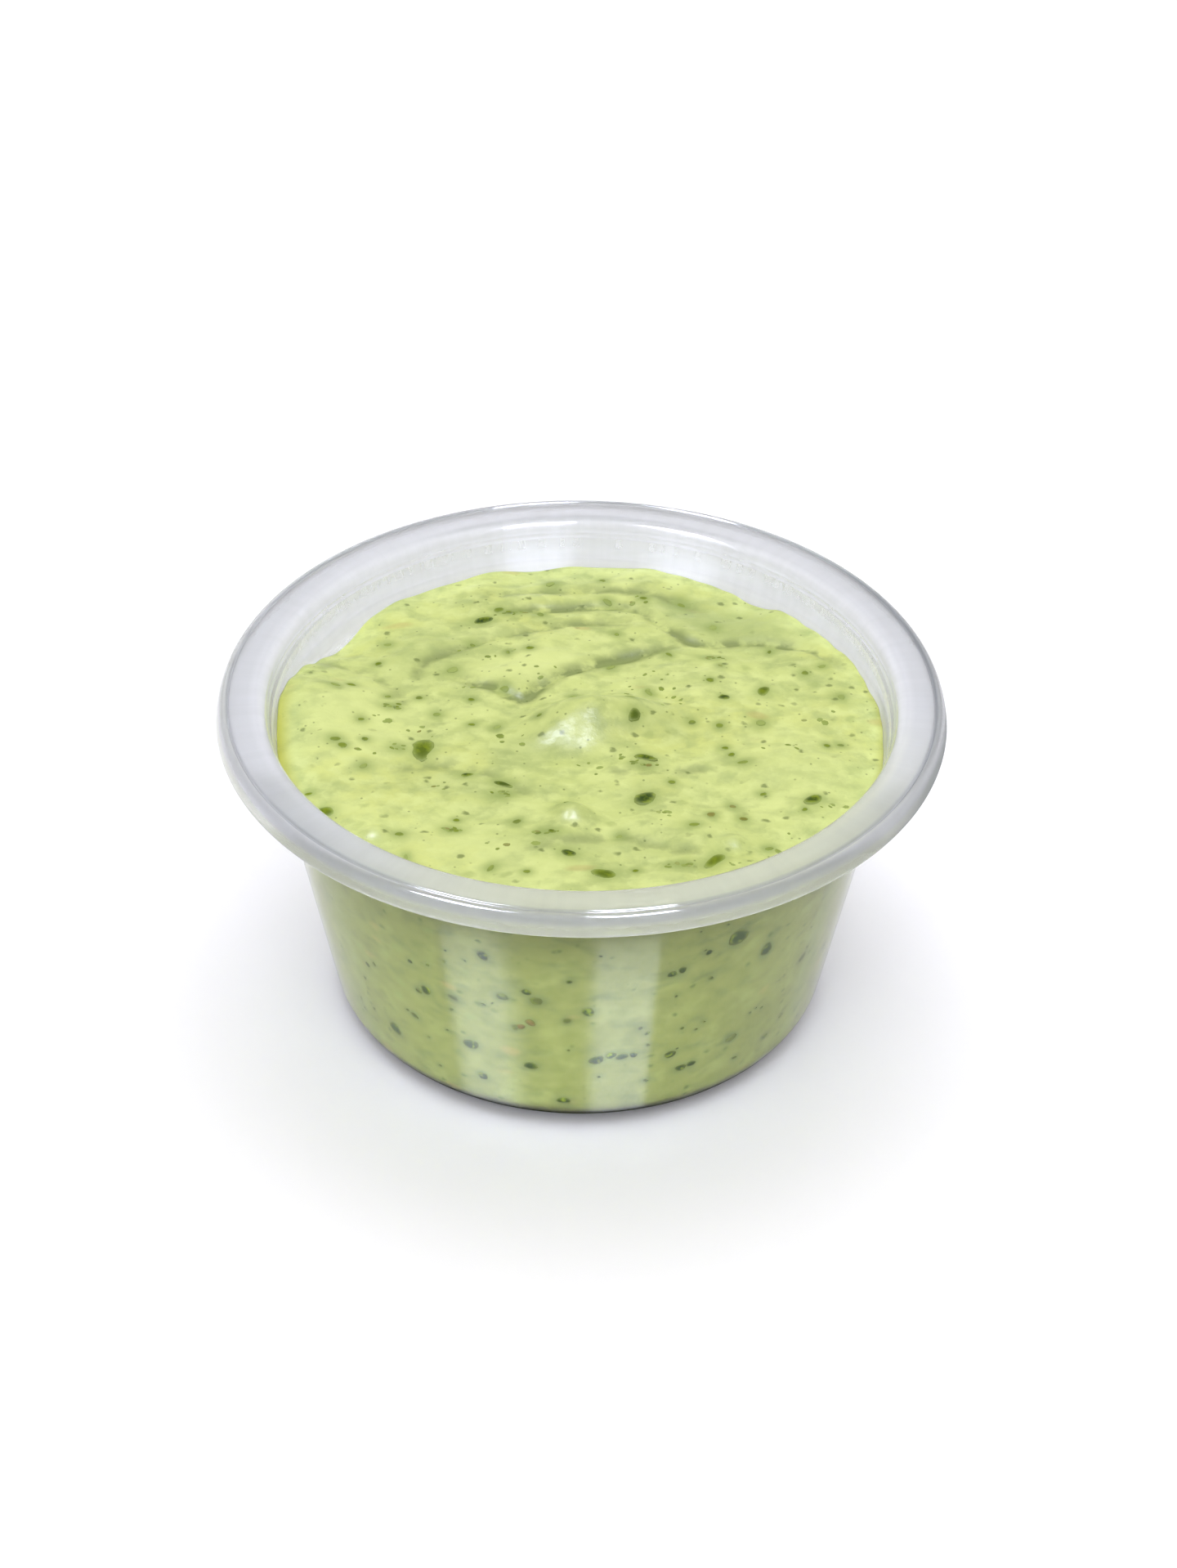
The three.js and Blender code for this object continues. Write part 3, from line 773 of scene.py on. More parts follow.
def chopped_leaf(bm, place, kind, size, width, rng, tone, where=ON_TOP):
    """Adds one roundish chopped piece, its edge thinly covered by dip, placed by a matrix."""
    long, wide, thickness, corners = kind[0] * size * MM, kind[1] * width * MM, kind[2] * MM, kind[3]
    layer = bm.verts.layers.float_color.get("tone") or bm.verts.layers.float_color.new("tone")
    ring = bmesh.ops.create_circle(bm, cap_ends=True, segments=corners, radius=0.5)["verts"]
    swell, notch = rng.uniform(0, 2 * math.pi), rng.uniform(0, 2 * math.pi)
    for vert in ring:
        grow = uneven(math.atan2(vert.co.y, vert.co.x), swell, notch) * rng.uniform(0.96, 1.04)
        vert.co = Vector((vert.co.x * long * grow, vert.co.y * wide * grow, 0.0))
    face, outline, made = ring[0].link_faces[0], 1.0, []
    for share, rise, cover in LEAF_RINGS:
        if made:
            extruded = bmesh.ops.extrude_face_region(bm, geom=[face])["geom"]
            face = next(item for item in extruded if isinstance(item, bmesh.types.BMFace))
        for vert in face.verts:
            vert.co = Vector((vert.co.x * share / outline, vert.co.y * share / outline, thickness * rise))
            vert[layer] = (tone[0], tone[1], max(tone[2], cover), where)
            made.append(vert)
        outline = share
    bmesh.ops.transform(bm, matrix=place, verts=made)


def leaf_tone(rng, veil_low, veil_high):
    """Dark share, brown share and veil of one piece."""
    brown = rng.uniform(0.5, 1.0) if rng.random() < BROWN_CHANCE else 0.0
    return 0.5 * rng.random(), brown, rng.uniform(veil_low, veil_high)


def top_place(top, at, turn):
    """Matrix that lays a piece on the dip's top, turned in degrees."""
    x, y = at
    tilt = Vector((0, 0, 1)).rotation_difference(top.normal(x, y)).to_matrix().to_4x4()
    spin = Matrix.Rotation(math.radians(turn), 4, "Z")
    return Matrix.Translation((x * MM, y * MM, float(top.height(x, y)[0]) * MM)) @ tilt @ spin


def wall_place(side, azimuth, z, turn, inset):
    """Matrix that lays a piece against the wall: angles in degrees, height in millimetres."""
    return (
        Matrix.Rotation(math.radians(azimuth), 4, "Z")
        @ Matrix.Translation((side.inner(z * MM, inset), 0, z * MM))
        @ Matrix.Rotation(math.pi / 2 + side.cup.lean, 4, "Y")
        @ Matrix.Rotation(math.pi / 2 + math.radians(turn), 4, "Z")
    )


def leaf_piece(bm, name, herbs, sheen):
    """Finishes a bmesh of chopped pieces as one object."""
    bmesh.ops.recalc_face_normals(bm, faces=bm.faces)
    piece = finish_mesh(bm, name)
    piece.data.materials.append(wet_leaf(name + "_leaf", herbs, sheen))
    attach(piece, "root")


class DIPCUP_OT_top_herbs(bpy.types.Operator):
    """Lays the chopped herbs on the dip's top"""

    bl_idname = "dipcup.top_herbs"
    bl_label = "Herbs on top"

    def execute(self, context):
        scene = context.scene
        top = Top(scene.dipcup_cup, scene.dipcup_dip)
        rng = random.Random(SEEDS["top herbs"])
        bm = bmesh.new()
        for at, size, width, turn in LARGE_HERBS:
            tone = (rng.uniform(0.3, 1.0), 0.0, 0.0)
            chopped_leaf(bm, top_place(top, at, turn), LARGE, size, width, rng, tone)
        for at, size in MARKS:
            place = top_place(top, at, rng.uniform(-30, 30))
            chopped_leaf(bm, place, MARK, size, size, rng, leaf_tone(rng, 0.0, 0.3))
        for at, size, width, turn in small_herbs(top):
            tone = leaf_tone(rng, 0.2, 0.85)
            chopped_leaf(bm, top_place(top, at, turn), SMALL, size, width, rng, tone)
        leaf_piece(bm, "herbs_top", scene.dipcup_herbs, 0.05)
        return {"FINISHED"}


def scatter_crumbs(bm, top, rng, wanted):
    """Small clusters of crumbs all over the top."""
    centre = (0.0, 0.0)
    for crumb in range(wanted):
        if crumb % CLUSTER_SIZE == 0:
            azimuth = rng.uniform(0, 2 * math.pi)
            radius = (top.rim - CLUSTER_MARGIN) * math.sqrt(rng.random())
            centre = (radius * math.cos(azimuth), radius * math.sin(azimuth))
        at = tuple(middle + rng.gauss(0, spread) for middle, spread in zip(centre, CLUSTER_SPREAD))
        if math.hypot(*at) > top.rim - CRUMB_MARGIN:
            continue
        size = 0.35 + 0.6 * rng.random() ** 2
        place = top_place(top, at, rng.gauss(0, 35))
        width = size * rng.uniform(*HERB_ASPECT)
        chopped_leaf(bm, place, CRUMB, size, width, rng, leaf_tone(rng, 0.35, 0.9))


def fill_smears(bm, top, rng):
    """Crumbs wiped along in the smears."""
    for centre, reach, width in SMEARS:
        for _ in range(round(3 * reach)):
            at = (centre[0] + reach * rng.uniform(-0.5, 0.5), centre[1] + width * rng.gauss(0, 0.25))
            size = rng.uniform(0.35, 0.8)
            place = top_place(top, at, rng.gauss(0, 20))
            chopped_leaf(bm, place, CRUMB, size, 0.6 * size, rng, leaf_tone(rng, 0.1, 0.8))


class DIPCUP_OT_crumbs(bpy.types.Operator):
    """Scatters the tiny crumbs of herb over the dip's top"""

    bl_idname = "dipcup.crumbs"
    bl_label = "Herb crumbs"

    def execute(self, context):
        scene = context.scene
        top = Top(scene.dipcup_cup, scene.dipcup_dip)
        rng = random.Random(SEEDS["crumbs"])
        bm = bmesh.new()
        scatter_crumbs(bm, top, rng, scene.dipcup_herbs.crumb_count)
        fill_smears(bm, top, rng)
        leaf_piece(bm, "herb_crumbs", scene.dipcup_herbs, 0.05)
        return {"FINISHED"}


class DIPCUP_OT_wall_herbs(bpy.types.Operator):
    """Lays the chopped herbs that show through the wall"""

    bl_idname = "dipcup.wall_herbs"
    bl_label = "Herbs at the wall"

    def execute(self, context):
        scene = context.scene
        cup, dip, herbs = scene.dipcup_cup, scene.dipcup_dip, scene.dipcup_herbs
        side = Side(cup)
        rng = random.Random(SEEDS["wall herbs"])
        bm = bmesh.new()
        for azimuth, z, size, width, turn in WALL_HERBS:
            place = wall_place(side, azimuth, z, turn, -dip.reach_in)
            brown = 0.8 if (azimuth, z) in BROWN_WALL_HERBS else 0.0
            tone = (2.0, brown, rng.uniform(0.0, 0.1))
            chopped_leaf(bm, place, WALL_PIECE, size, width, rng, tone, AT_WALL)
        for azimuth, z, size, width, turn in wall_specks(cup, dip, herbs.wall_count):
            place = wall_place(side, azimuth, z, turn, -dip.reach_in)
            tone = (1.5, 0.0, rng.uniform(0.1, 0.8))
            chopped_leaf(bm, place, WALL_SPECK, size, width, rng, tone, AT_WALL)
        leaf_piece(bm, "herbs_wall", herbs, 0.0)
        return {"FINISHED"}


# ---- Node helpers ----------------------------------------------------------------------------


def new_material(name):
    material = bpy.data.materials.new(name)
    material.use_nodes = True
    tree = material.node_tree
    tree.nodes.clear()
    return material, tree


def feed(tree, socket, value):
    """Links a socket to an input, or sets the input to a number or a colour."""
    if isinstance(value, bpy.types.NodeSocket):
        tree.links.new(value, socket)
    elif socket.type == "RGBA":
        socket.default_value = (*value, 1.0)
    else:
        socket.default_value = value


def add_node(tree, kind, *feeds, **settings):
    """Adds a node. Feeds go to its inputs in order, and a setting to the node or its input of that name."""
    made = tree.nodes.new("ShaderNode" + kind)
    for name, value in settings.items():
        if hasattr(made, name):
            setattr(made, name, value)
        else:
            feed(tree, made.inputs[name.replace("_", " ")], value)
    for socket, value in zip(made.inputs, feeds):
        feed(tree, socket, value)
    return made


def calculate(tree, operation, *values):
    return add_node(tree, "Math", *values, operation=operation).outputs[0]


def times(tree, first, second):
    return calculate(tree, "MULTIPLY", first, second)


def object_coordinates(tree, scale=(1, 1, 1)):
    """Object coordinates in millimetres, stretched by scale."""
    place = add_node(tree, "TexCoord").outputs["Object"]
    return add_node(tree, "Mapping", place, Scale=[part / MM for part in scale]).outputs["Vector"]


def height_over_base(tree):
    return add_node(tree, "SeparateXYZ", object_coordinates(tree)).outputs["Z"]


def flat_coordinates(tree):
    """Object coordinates in millimetres with the height left out."""
    flat = add_node(tree, "VectorMath", object_coordinates(tree), (1.0, 1.0, 0.0), operation="MULTIPLY")
    return flat.outputs[0]


def axis_distance(tree):
    return add_node(tree, "VectorMath", flat_coordinates(tree), operation="LENGTH").outputs["Value"]


def axis_direction(tree):
    return add_node(tree, "VectorMath", flat_coordinates(tree), operation="NORMALIZE").outputs[0]


def map_range(tree, value, low, high, to_low=0.0, to_high=1.0):
    """A smooth step from one value to another, between low and high."""
    return add_node(
        tree, "MapRange", value, From_Min=low, From_Max=high, To_Min=to_low, To_Max=to_high,
        interpolation_type="SMOOTHSTEP",
    ).outputs["Result"]


def noise(tree, vector, scale, detail=2.0):
    return add_node(tree, "TexNoise", vector, Scale=scale, Detail=detail).outputs


def noise_mask(tree, vector, scale, low, high, detail=3.0):
    """A soft mask from noise, 0 under low and 1 over high."""
    return map_range(tree, noise(tree, vector, scale, detail)["Fac"], low, high)


def warped(tree, vector, scale, amount):
    """Coordinates pushed about by noise, so that patterns on them look stirred."""
    push = noise(tree, vector, scale)["Color"]
    centred = add_node(tree, "VectorMath", push, (0.5, 0.5, 0.5), operation="SUBTRACT").outputs[0]
    return add_node(tree, "VectorMath", centred, [amount] * 3, vector, operation="MULTIPLY_ADD").outputs[0]


def flecks(tree, vector, spacing, radius, share, strongest):
    """Mask of soft flecks: one cell in so many carries a fleck, each of its own strength."""
    cells = add_node(tree, "TexVoronoi", vector, Scale=1.0 / spacing)
    chance = add_node(tree, "SeparateColor", cells.outputs["Color"]).outputs[0]
    near = map_range(tree, cells.outputs["Distance"], radius / spacing, 0.35 * radius / spacing)
    chosen = map_range(tree, chance, 1.0 - share, 1.0 - 0.6 * share, 0.0, strongest)
    return times(tree, near, chosen)


def attribute(tree, name):
    return add_node(tree, "Attribute", attribute_name=name).outputs["Fac"]


def bumps(tree, height, strength, distance):
    """A normal roughened by a height, its distance in millimetres."""
    return add_node(tree, "Bump", Height=height, Strength=strength, Distance=distance * MM).outputs["Normal"]


def value_ramp(tree, value, stops):
    """A value by another: stops of (value, result)."""
    first, last = stops[0][0], stops[-1][0]
    share = add_node(tree, "MapRange", value, From_Min=first, From_Max=last).outputs["Result"]
    ramp = add_node(tree, "ValToRGB", share)
    points = ramp.color_ramp.elements
    while len(points) < len(stops):
        points.new(0.5)
    for point, (at, result) in zip(points, stops):
        point.position = (at - first) / (last - first)
        point.color = (result, result, result, 1.0)
    return ramp.outputs["Color"]


def mix_colour(tree, factor, first, second):
    """Mixes two colours, each a socket or a value, by a socket."""
    mix = add_node(tree, "Mix", factor, data_type="RGBA")
    feed(tree, mix.inputs[6], first)
    feed(tree, mix.inputs[7], second)
    return mix.outputs[2]


def mix_shaders(tree, factor, first, second):
    return add_node(tree, "MixShader", factor, first.outputs[0], second.outputs[0])


def facing(tree, azimuth, narrow, wide, both=False):
    """A mask round the axis: 1 within a narrow angle of an azimuth, 0 past a wide one, all in degrees."""
    towards = (math.cos(math.radians(azimuth)), math.sin(math.radians(azimuth)), 0.0)
    turn = add_node(tree, "VectorMath", axis_direction(tree), towards, operation="DOT_PRODUCT")
    nearness = turn.outputs["Value"]
    if both:
        nearness = calculate(tree, "ABSOLUTE", nearness)
    return map_range(tree, nearness, math.cos(math.radians(wide)), math.cos(math.radians(narrow)))


# ---- Materials of the dip and the herbs ------------------------------------------------------

# Layers of noise over the dip's body: coordinates, scale, where the noise starts and where it is
# full, detail, strength and colour. The second set shows only where the dip is pressed to the wall.
STREAKS = (
    ("stirred", 0.22, 0.45, 0.72, 3.0, 0.7, "cream"),
    ("stirred", 0.34, 0.48, 0.74, 4.0, 0.6, "shade"),
    ("specked", 0.5, 0.38, 0.74, 5.0, 0.7, "shade"),
    ("specked", 0.7, 0.40, 0.74, 5.0, 0.7, "cream"),
)
WALL_MOTTLES = (
    ("specked", 0.34, 0.48, 0.72, 4.0, 0.16, "body"),
    ("stirred", 0.55, 0.5, 0.74, 4.0, 0.30, "deep_stain"),
)
# Layers that follow the dip's attributes: attribute, strength, colour. The pale and dull patches are partly
# painted light and shade, and the darker tone pressed to the wall is partly the wet contact and partly
# painted shade.
MARKED_AREAS = (
    ("paler_and_lit", 0.8, "cream"), ("duller_and_shaded", 0.6, "shade"), ("oily", 0.95, "ochre"), ("pressed", 0.8, "pressed"),
)
# Flecks in the dip: coordinates, spacing and radius in millimetres, share of cells, strength, colour.
DIP_FLECKS = (
    ("specked", 2.8, 0.75, 0.22, 0.35, "stain"),
    ("specked", 1.5, 0.40, 0.40, 0.70, "fleck"),
    ("plain", 0.8, 0.18, 0.25, 0.6, "fleck"),
    ("stirred", 3.1, 0.8, 0.22, 0.35, "spice"),
)
# Painted shade at the dip's foot, near the base.
DIP_FOOT_SHADE = (2.6, 1.2, 0.85)  # heights where the dark foot starts and is full, in millimetres, strength
DIP_GRAIN = (1.1, 5.0)  # scale and detail of the fine unevenness
DIP_COAT = 0.22  # wet film on the top, none where the dip is pressed to the wall


def dip_colour(tree, dip):
    """The creamy body with its streaks, stains and flecks, and painted light and shade: pale and dull
    patches, a darker side, darker folds and a dark foot.
    """
    plain = object_coordinates(tree)
    places = {
        "plain": plain,
        "stirred": warped(tree, object_coordinates(tree, (0.5, 1.0, 1.0)), 0.25, 2.2),
        "specked": warped(tree, object_coordinates(tree, (0.8, 1.0, 1.0)), 1.4, 0.7),
    }
    pressed = attribute(tree, "pressed")
    on_top = map_range(tree, pressed, 0.0, 1.0, 0.55, 0.0)
    warmth = times(tree, noise_mask(tree, plain, 0.085, 0.48, 0.66), on_top)
    tone = mix_colour(tree, warmth, dip.body, dip.yellow)
    for place, scale, low, high, detail, strength, layer in STREAKS:
        mask = noise_mask(tree, places[place], scale, low, high, detail)
        tone = mix_colour(tree, times(tree, mask, strength), tone, getattr(dip, layer))
    # Pale and dull patches, partly painted light and shade, and the side's darker tone, partly painted
    # shade.
    for name, strength, layer in MARKED_AREAS:
        tone = mix_colour(tree, times(tree, attribute(tree, name), strength), tone, getattr(dip, layer))
    for place, scale, low, high, detail, strength, layer in WALL_MOTTLES:
        mask = noise_mask(tree, places[place], scale, low, high, detail)
        tone = mix_colour(tree, times(tree, mask, times(tree, pressed, strength)), tone, getattr(dip, layer))
    # Darker folds: gathered herb dust and painted shade in the grooves.
    crease = times(tree, attribute(tree, "crease"), noise_mask(tree, places["specked"], 0.5, 0.3, 0.6))
    tone = mix_colour(tree, times(tree, crease, 0.9), tone, dip.crease)
    # Stain on the side is darker, partly painted shade.
    stain = mix_colour(tree, pressed, dip.stain, dip.deep_stain)
    tone = mix_colour(tree, times(tree, attribute(tree, "stain"), 0.85), tone, stain)
    for place, spacing, radius, share, strength, layer in DIP_FLECKS:
        mask = flecks(tree, places[place], spacing, radius, share, strength)
        tone = mix_colour(tree, mask, tone, getattr(dip, layer))
    # Painted shade: darker towards the base, where the dip turns under.
    foot = map_range(tree, height_over_base(tree), DIP_FOOT_SHADE[0], DIP_FOOT_SHADE[1], 0.0, DIP_FOOT_SHADE[2])
    return mix_colour(tree, foot, tone, dip.foot)


def creamy_dip(dip):
    """Thick, moist dip with a soft wet shine on its top."""
    material, tree = new_material("creamy_dip")
    grain = bumps(tree, noise(tree, object_coordinates(tree), *DIP_GRAIN)["Fac"], 0.55, 0.12)
    shader = add_node(
        tree, "BsdfPrincipled", Base_Color=dip_colour(tree, dip), Normal=grain, Roughness=0.42,
        Specular_IOR_Level=0.03, Coat_Roughness=0.33, Coat_Normal=grain,
        Coat_Weight=map_range(tree, attribute(tree, "pressed"), 0.0, 1.0, DIP_COAT, 0.0),
    )
    add_node(tree, "OutputMaterial", shader.outputs[0])
    return material


def wet_leaf(name, herbs, sheen):
    """Chopped leaf. Its attribute holds the dark share, the brown share, the veil and where it lies."""
    material, tree = new_material(name)
    tone = add_node(tree, "Attribute", attribute_name="tone").outputs
    dark, brown, cover = add_node(tree, "SeparateColor", tone["Color"]).outputs
    patchy = times(tree, noise_mask(tree, object_coordinates(tree), 1.2, 0.32, 0.58), dark)
    leaf = mix_colour(tree, patchy, herbs.leaf, herbs.dark_leaf)
    leaf = mix_colour(tree, brown, leaf, herbs.brown)
    # The veil is darker at the wall, partly painted shade.
    veil = mix_colour(tree, tone["Alpha"], herbs.wall_veil, herbs.veil)
    shader = add_node(
        tree, "BsdfPrincipled", Base_Color=mix_colour(tree, cover, leaf, veil), Roughness=0.5,
        Specular_IOR_Level=sheen,
    )
    add_node(tree, "OutputMaterial", shader.outputs[0])
    return material


# ---- Clear plastic ---------------------------------------------------------------------------

# By height over the base in millimetres: the body is clear, and the thicker upper side and rim
# are hazy. The inner face is hazy just over and under the dip's edge. The foot is painted dark as shade.
HAZE_STOPS = ((29.6, 0.0), (30.5, 0.18), (31.2, 0.27), (34.6, 0.30), (35.3, 0.36), (36.0, 0.37))
INNER_HAZE_STOPS = ((27.0, 0.0), (28.5, 0.30), (30.4, 0.26), (31.6, 0.10), (33.0, 0.0), (36.0, 0.0))
FOOT_SHADE_STOPS = ((0.0, 0.9), (1.5, 0.9), (2.2, 0.0), (3.0, 0.0))
# By distance from the axis: share of the side's own haze, painted shade on groove and lip, painted glow
# on the lip's edge, painted shade on the flange's sides, the right edge and the groove line, and the side's
# gloss.
WALL_STOPS = ((32.3, 1.0), (32.9, 0.0))
SHADE_STOPS = ((35.4, 0.0), (35.68, 1.0), (35.85, 1.0), (36.05, 0.3), (36.4, 0.8), (37.0, 0.8))
GLOW_STOPS = ((36.0, 0.0), (36.72, 0.0), (36.86, 1.0), (37.0, 1.0))
FLANGE_STOPS = ((32.0, 0.0), (33.2, 0.0), (33.8, 1.0), (37.0, 1.0))
EDGE_SHADE_STOPS = ((36.0, 0.0), (36.5, 0.0), (36.85, 0.65), (37.0, 0.65))
GROOVE_SHADE_STOPS = ((35.3, 0.0), (35.68, 0.16), (35.85, 0.16), (36.1, 0.0))
GLOSS_STOPS = ((31.0, 0.021), (32.4, 0.0))
FACE_BLUR = 0.02  # half the width of the change from the inner to the outer face, in millimetres
STREAK_NOISE = (24.0, 4.0)  # scale and detail of the haze's faint radial streaks
STREAK_RANGE = (0.97, 1.03)
PLASTIC_WAVES = (0.35, 0.15, 0.05)  # noise scale, strength and depth in millimetres
PLASTIC_ROUGHNESS = 0.08
PLASTIC_IOR = 1.33
BAND_ROUGHNESS, BAND_STRETCH = 0.45, 0.95  # draws the side's reflections out into upright bands


def radius_ramp(tree, stops):
    return value_ramp(tree, axis_distance(tree), stops)


def height_ramp(tree, stops):
    return value_ramp(tree, height_over_base(tree), stops)


def inside_face(tree, cup):
    """A mask that is 1 on the inner face of the cup's side and 0 on its outer face."""
    side = Side(cup)
    upright = calculate(tree, "MULTIPLY_ADD", height_over_base(tree), -side.slope, axis_distance(tree))
    middle = (side.outer(0.0) - cup.wall / 2) / MM
    return map_range(tree, upright, middle + FACE_BLUR, middle - FACE_BLUR)


def plastic_haze(tree, cup):
    """How milky the plastic is, with faint streaks that run out from the axis."""
    inner = times(tree, inside_face(tree, cup), height_ramp(tree, INNER_HAZE_STOPS))
    milkiness = calculate(tree, "ADD", height_ramp(tree, HAZE_STOPS), inner)
    streaks = noise(tree, axis_direction(tree), *STREAK_NOISE)["Fac"]
    return times(tree, milkiness, map_range(tree, streaks, 0.3, 0.7, *STREAK_RANGE))


def milk_with_painted_light_and_shade(tree, cup):
    """Colour of the milky share, with a painted glow at the front and on the lip's edge, and painted shade
    on the flange's sides, the groove and the lip.
    """
    # Painted glow at the front, where the dip would light the milky plastic.
    front = times(tree, facing(tree, -70, 15, 70), 0.7)
    sides = times(tree, facing(tree, 0, 20, 55, both=True), radius_ramp(tree, FLANGE_STOPS))
    milk = mix_colour(tree, radius_ramp(tree, WALL_STOPS), cup.haze, cup.inner_haze)
    milk = mix_colour(tree, front, milk, cup.painted_edge_glow)
    # Painted shade on the flange's sides, then on the groove and lip.
    milk = mix_colour(tree, times(tree, sides, 0.5), milk, cup.painted_lip_shade)
    milk = mix_colour(tree, radius_ramp(tree, SHADE_STOPS), milk, cup.painted_lip_shade)
    # Painted glow on the lip's edge.
    return mix_colour(tree, radius_ramp(tree, GLOW_STOPS), milk, cup.painted_edge_glow)


def clear_plastic(cup):
    """Clear thermoformed plastic that lets lamps through, hazy at the rim."""
    material, tree = new_material("clear_plastic")
    haze = plastic_haze(tree, cup)
    clearness = calculate(tree, "SUBTRACT", 1.0, haze)
    scale, strength, depth = PLASTIC_WAVES
    ripples = noise(tree, object_coordinates(tree, (1.0, 1.0, 0.35)), scale)["Fac"]
    surface = add_node(
        tree, "BsdfPrincipled", Base_Color=mix_colour(tree, haze, cup.tint, milk_with_painted_light_and_shade(tree, cup)),
        Normal=bumps(tree, ripples, strength, depth), Transmission_Weight=clearness,
        Roughness=PLASTIC_ROUGHNESS, IOR=PLASTIC_IOR,
    )
    tangent = add_node(tree, "Tangent", direction_type="RADIAL", axis="Z").outputs[0]
    gloss = add_node(
        tree, "BsdfAnisotropic", Roughness=BAND_ROUGHNESS, Anisotropy=BAND_STRETCH, Tangent=tangent
    )
    surface = mix_shaders(tree, radius_ramp(tree, GLOSS_STOPS), surface, gloss)
    # Painted shade: a dark diffuse foot round the base.
    foot = add_node(tree, "BsdfDiffuse", cup.foot)
    surface = mix_shaders(tree, height_ramp(tree, FOOT_SHADE_STOPS), surface, foot)
    # Painted shade: dark diffuse at the lip's right edge and along the groove line.
    right_edge_shade = times(tree, facing(tree, 2, 15, 50), radius_ramp(tree, EDGE_SHADE_STOPS))
    dark = calculate(tree, "ADD", right_edge_shade, radius_ramp(tree, GROOVE_SHADE_STOPS))
    surface = mix_shaders(tree, dark, surface, add_node(tree, "BsdfDiffuse", cup.painted_edge_shade))
    lamp = add_node(tree, "LightPath").outputs["Is Shadow Ray"]
    surface = mix_shaders(
        tree, times(tree, clearness, lamp), surface, add_node(tree, "BsdfTransparent", cup.tint)
    )
    add_node(tree, "OutputMaterial", surface.outputs[0])
    return material


# ---- Stage -----------------------------------------------------------------------------------

# Softboxes: azimuth from the camera and elevation in degrees, distance, width, height, power,
# and whether they only give reflections.
SOFTBOXES = {
    "overhead": (180, 76, 4.0, 3.0, 3.0, 38.0, False),
    "strip_left": (-44, 50, 2.0, 0.66, 0.80, 200.0, True),
    "strip_right": (20, 50, 2.0, 0.64, 0.80, 215.0, True),
}
STRIP_COLOUR = (0.76, 0.80, 1.0)
HORIZON_COLOUR = (0.385, 0.385, 0.375, 1)
ZENITH_COLOUR = (1.0, 1.0, 1.0, 1)
ZENITH_FROM = 0.75
WORLD_STRENGTH = 1.19
CAMERA_TARGET = Vector((0.808, 0.0, 24.125)) * MM
CAMERA_ROLL = math.radians(0.788)
CAMERA_LENS, CAMERA_SENSOR = 78.25, 36.0
CAMERA_CLIP_START = 0.01
FLOOR_HALF_SIZE = 4.0


def pale_floor(stage):
    material, tree = new_material("pale_floor")
    shader = add_node(
        tree, "BsdfPrincipled", Base_Color=stage.floor_colour, Roughness=0.9, Specular_IOR_Level=0.0
    )
    add_node(tree, "OutputMaterial", shader.outputs[0])
    return material


def look_matrix(place, target):
    return Matrix.Translation(place) @ (target - place).to_track_quat("-Z", "Y").to_matrix().to_4x4()


def add_camera(stage, rim_height):
    data = bpy.data.cameras.new("camera")
    data.lens = CAMERA_LENS
    data.sensor_width = CAMERA_SENSOR
    data.clip_start = CAMERA_CLIP_START
    camera = bpy.data.objects.new("camera", data)
    bpy.context.scene.collection.objects.link(camera)
    place = Vector((
        0.0, -stage.camera_distance * math.cos(stage.camera_elevation),
        rim_height + stage.camera_distance * math.sin(stage.camera_elevation),
    ))
    camera.matrix_world = look_matrix(place, CAMERA_TARGET) @ Matrix.Rotation(CAMERA_ROLL, 4, "Z")
    bpy.context.scene.camera = camera


def add_softbox(name, azimuth, elevation, distance, width, height, power, only_gloss):
    data = bpy.data.lights.new(name, "AREA")
    data.shape = "RECTANGLE"
    data.size = width
    data.size_y = height
    data.energy = power
    lamp = bpy.data.objects.new(name, data)
    lamp.visible_diffuse = not only_gloss
    if only_gloss:
        data.color = STRIP_COLOUR
    bpy.context.scene.collection.objects.link(lamp)
    across, up = math.radians(azimuth), math.radians(elevation)
    place = distance * Vector((
        math.sin(across) * math.cos(up), -math.cos(across) * math.cos(up), math.sin(up)
    ))
    rim = Vector((0, 0, CUP_HIGH.z))
    lamp.matrix_world = look_matrix(place + rim, rim)


def add_world():
    """A pale studio, darker at the horizon."""
    world = bpy.data.worlds.new("studio")
    bpy.context.scene.world = world
    world.use_nodes = True
    tree = world.node_tree
    upward = add_node(tree, "SeparateXYZ", add_node(tree, "TexCoord").outputs["Generated"]).outputs["Z"]
    ramp = add_node(tree, "ValToRGB", upward)
    horizon, zenith = ramp.color_ramp.elements
    horizon.position, horizon.color = 0.0, HORIZON_COLOUR
    zenith.position, zenith.color = ZENITH_FROM, ZENITH_COLOUR
    background = tree.nodes["Background"]
    tree.links.new(ramp.outputs["Color"], background.inputs["Color"])
    background.inputs["Strength"].default_value = WORLD_STRENGTH


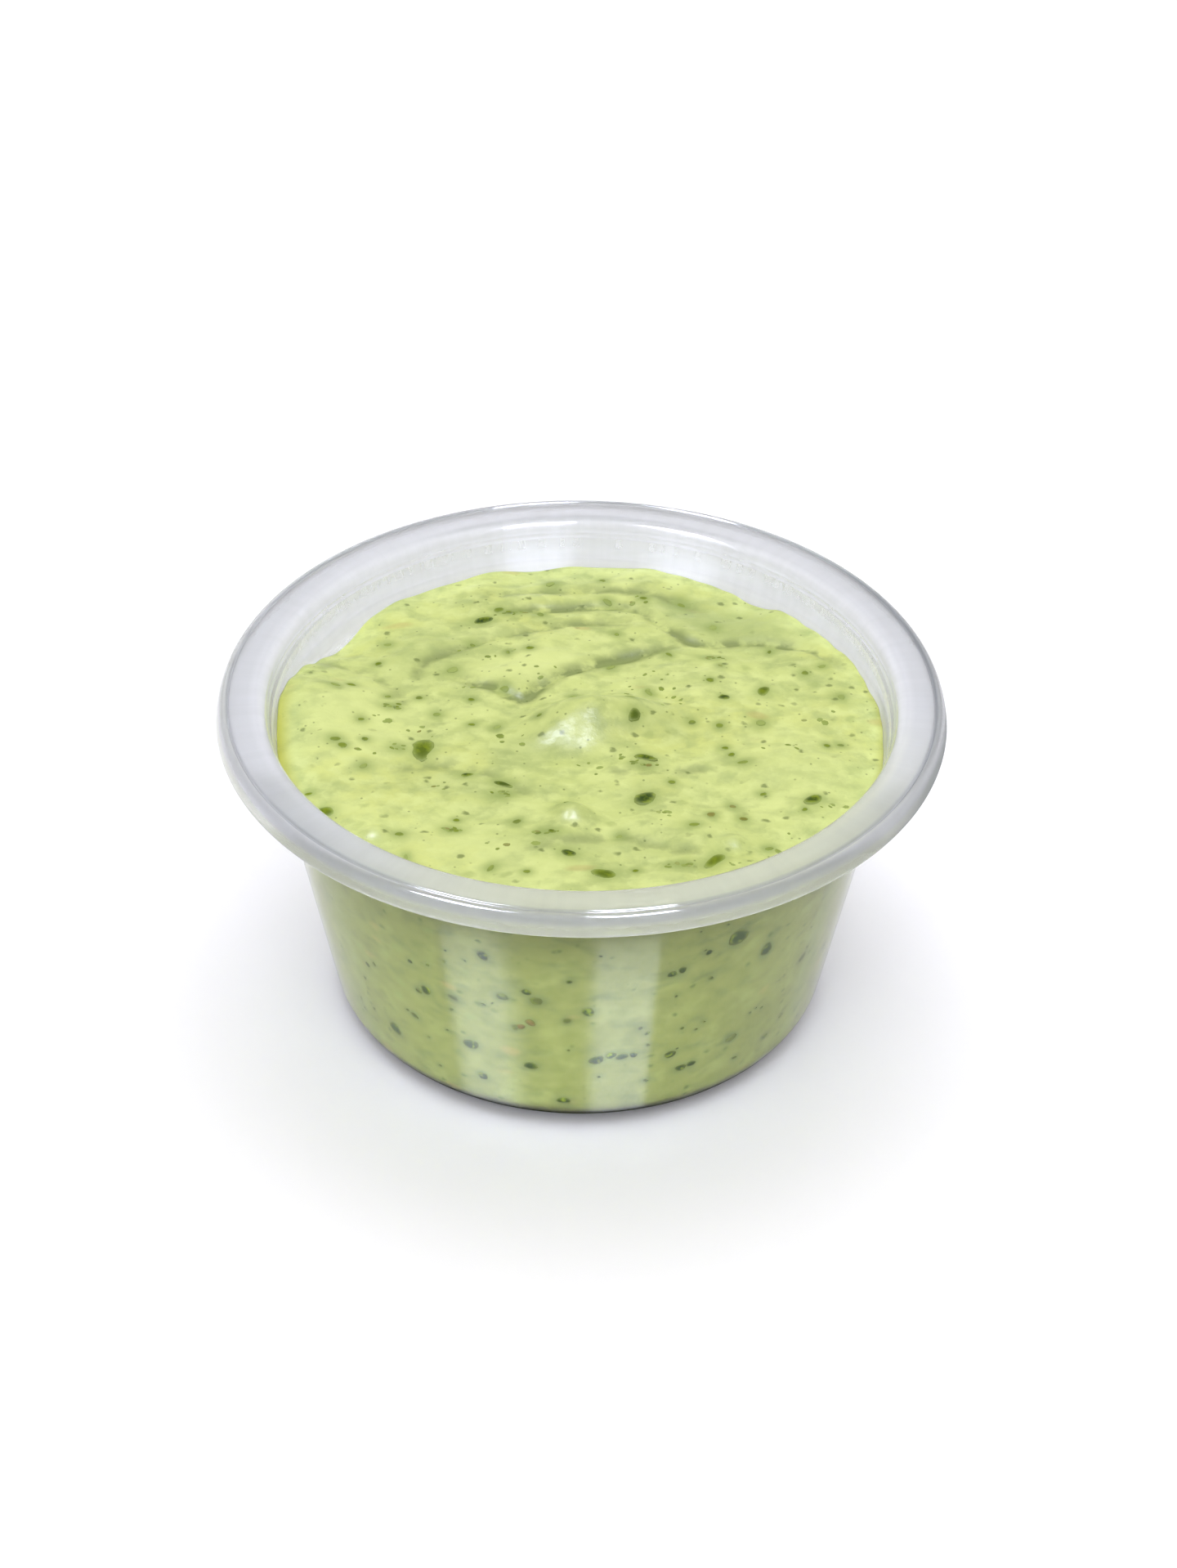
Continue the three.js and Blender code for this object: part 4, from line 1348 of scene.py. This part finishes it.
class DIPCUP_OT_stage(bpy.types.Operator):
    """Makes the pale floor, the studio light and the camera"""

    bl_idname = "dipcup.stage"
    bl_label = "Stage"

    def execute(self, context):
        stage = context.scene.dipcup_stage
        bm = bmesh.new()
        bmesh.ops.create_grid(bm, x_segments=1, y_segments=1, size=FLOOR_HALF_SIZE)
        floor = finish_mesh(bm, "floor", smooth=False)
        floor.data.materials.append(pale_floor(stage))
        add_world()
        for name, box in SOFTBOXES.items():
            add_softbox(name, *box)
        add_camera(stage, context.scene.dipcup_cup.height)
        context.scene.view_settings.view_transform = "Standard"
        return {"FINISHED"}


# ---- Panel and registration ------------------------------------------------------------------

GROUPS = {
    "dipcup_cup": CupSettings,
    "dipcup_dip": DipSettings,
    "dipcup_herbs": HerbSettings,
    "dipcup_stage": StageSettings,
}


class DIPCUP_PT_panel(bpy.types.Panel):
    bl_label = "Dip cup"
    bl_idname = "DIPCUP_PT_panel"
    bl_space_type = "VIEW_3D"
    bl_region_type = "UI"
    bl_category = "Dip cup"

    def draw(self, context):
        for name in GROUPS:
            settings = getattr(context.scene, name)
            box = self.layout.box()
            for key in settings.__annotations__:
                box.prop(settings, key)
        for operator in OPERATORS:
            self.layout.operator(operator.bl_idname)


OPERATORS = (
    DIPCUP_OT_stage,
    DIPCUP_OT_cup,
    DIPCUP_OT_dip,
    DIPCUP_OT_top_herbs,
    DIPCUP_OT_crumbs,
    DIPCUP_OT_wall_herbs,
)
CLASSES = (*GROUPS.values(), *OPERATORS, DIPCUP_PT_panel)


def register():
    for item in CLASSES:
        bpy.utils.register_class(item)
    for name, group in GROUPS.items():
        setattr(bpy.types.Scene, name, bpy.props.PointerProperty(type=group))


def unregister():
    for name in GROUPS:
        delattr(bpy.types.Scene, name)
    for item in reversed(CLASSES):
        bpy.utils.unregister_class(item)


def main():
    register()
    bpy.ops.dipcup.stage()
    bpy.ops.dipcup.cup()
    bpy.ops.dipcup.dip()
    bpy.ops.dipcup.top_herbs()
    bpy.ops.dipcup.crumbs()
    bpy.ops.dipcup.wall_herbs()


if __name__ == "__main__":
    main()
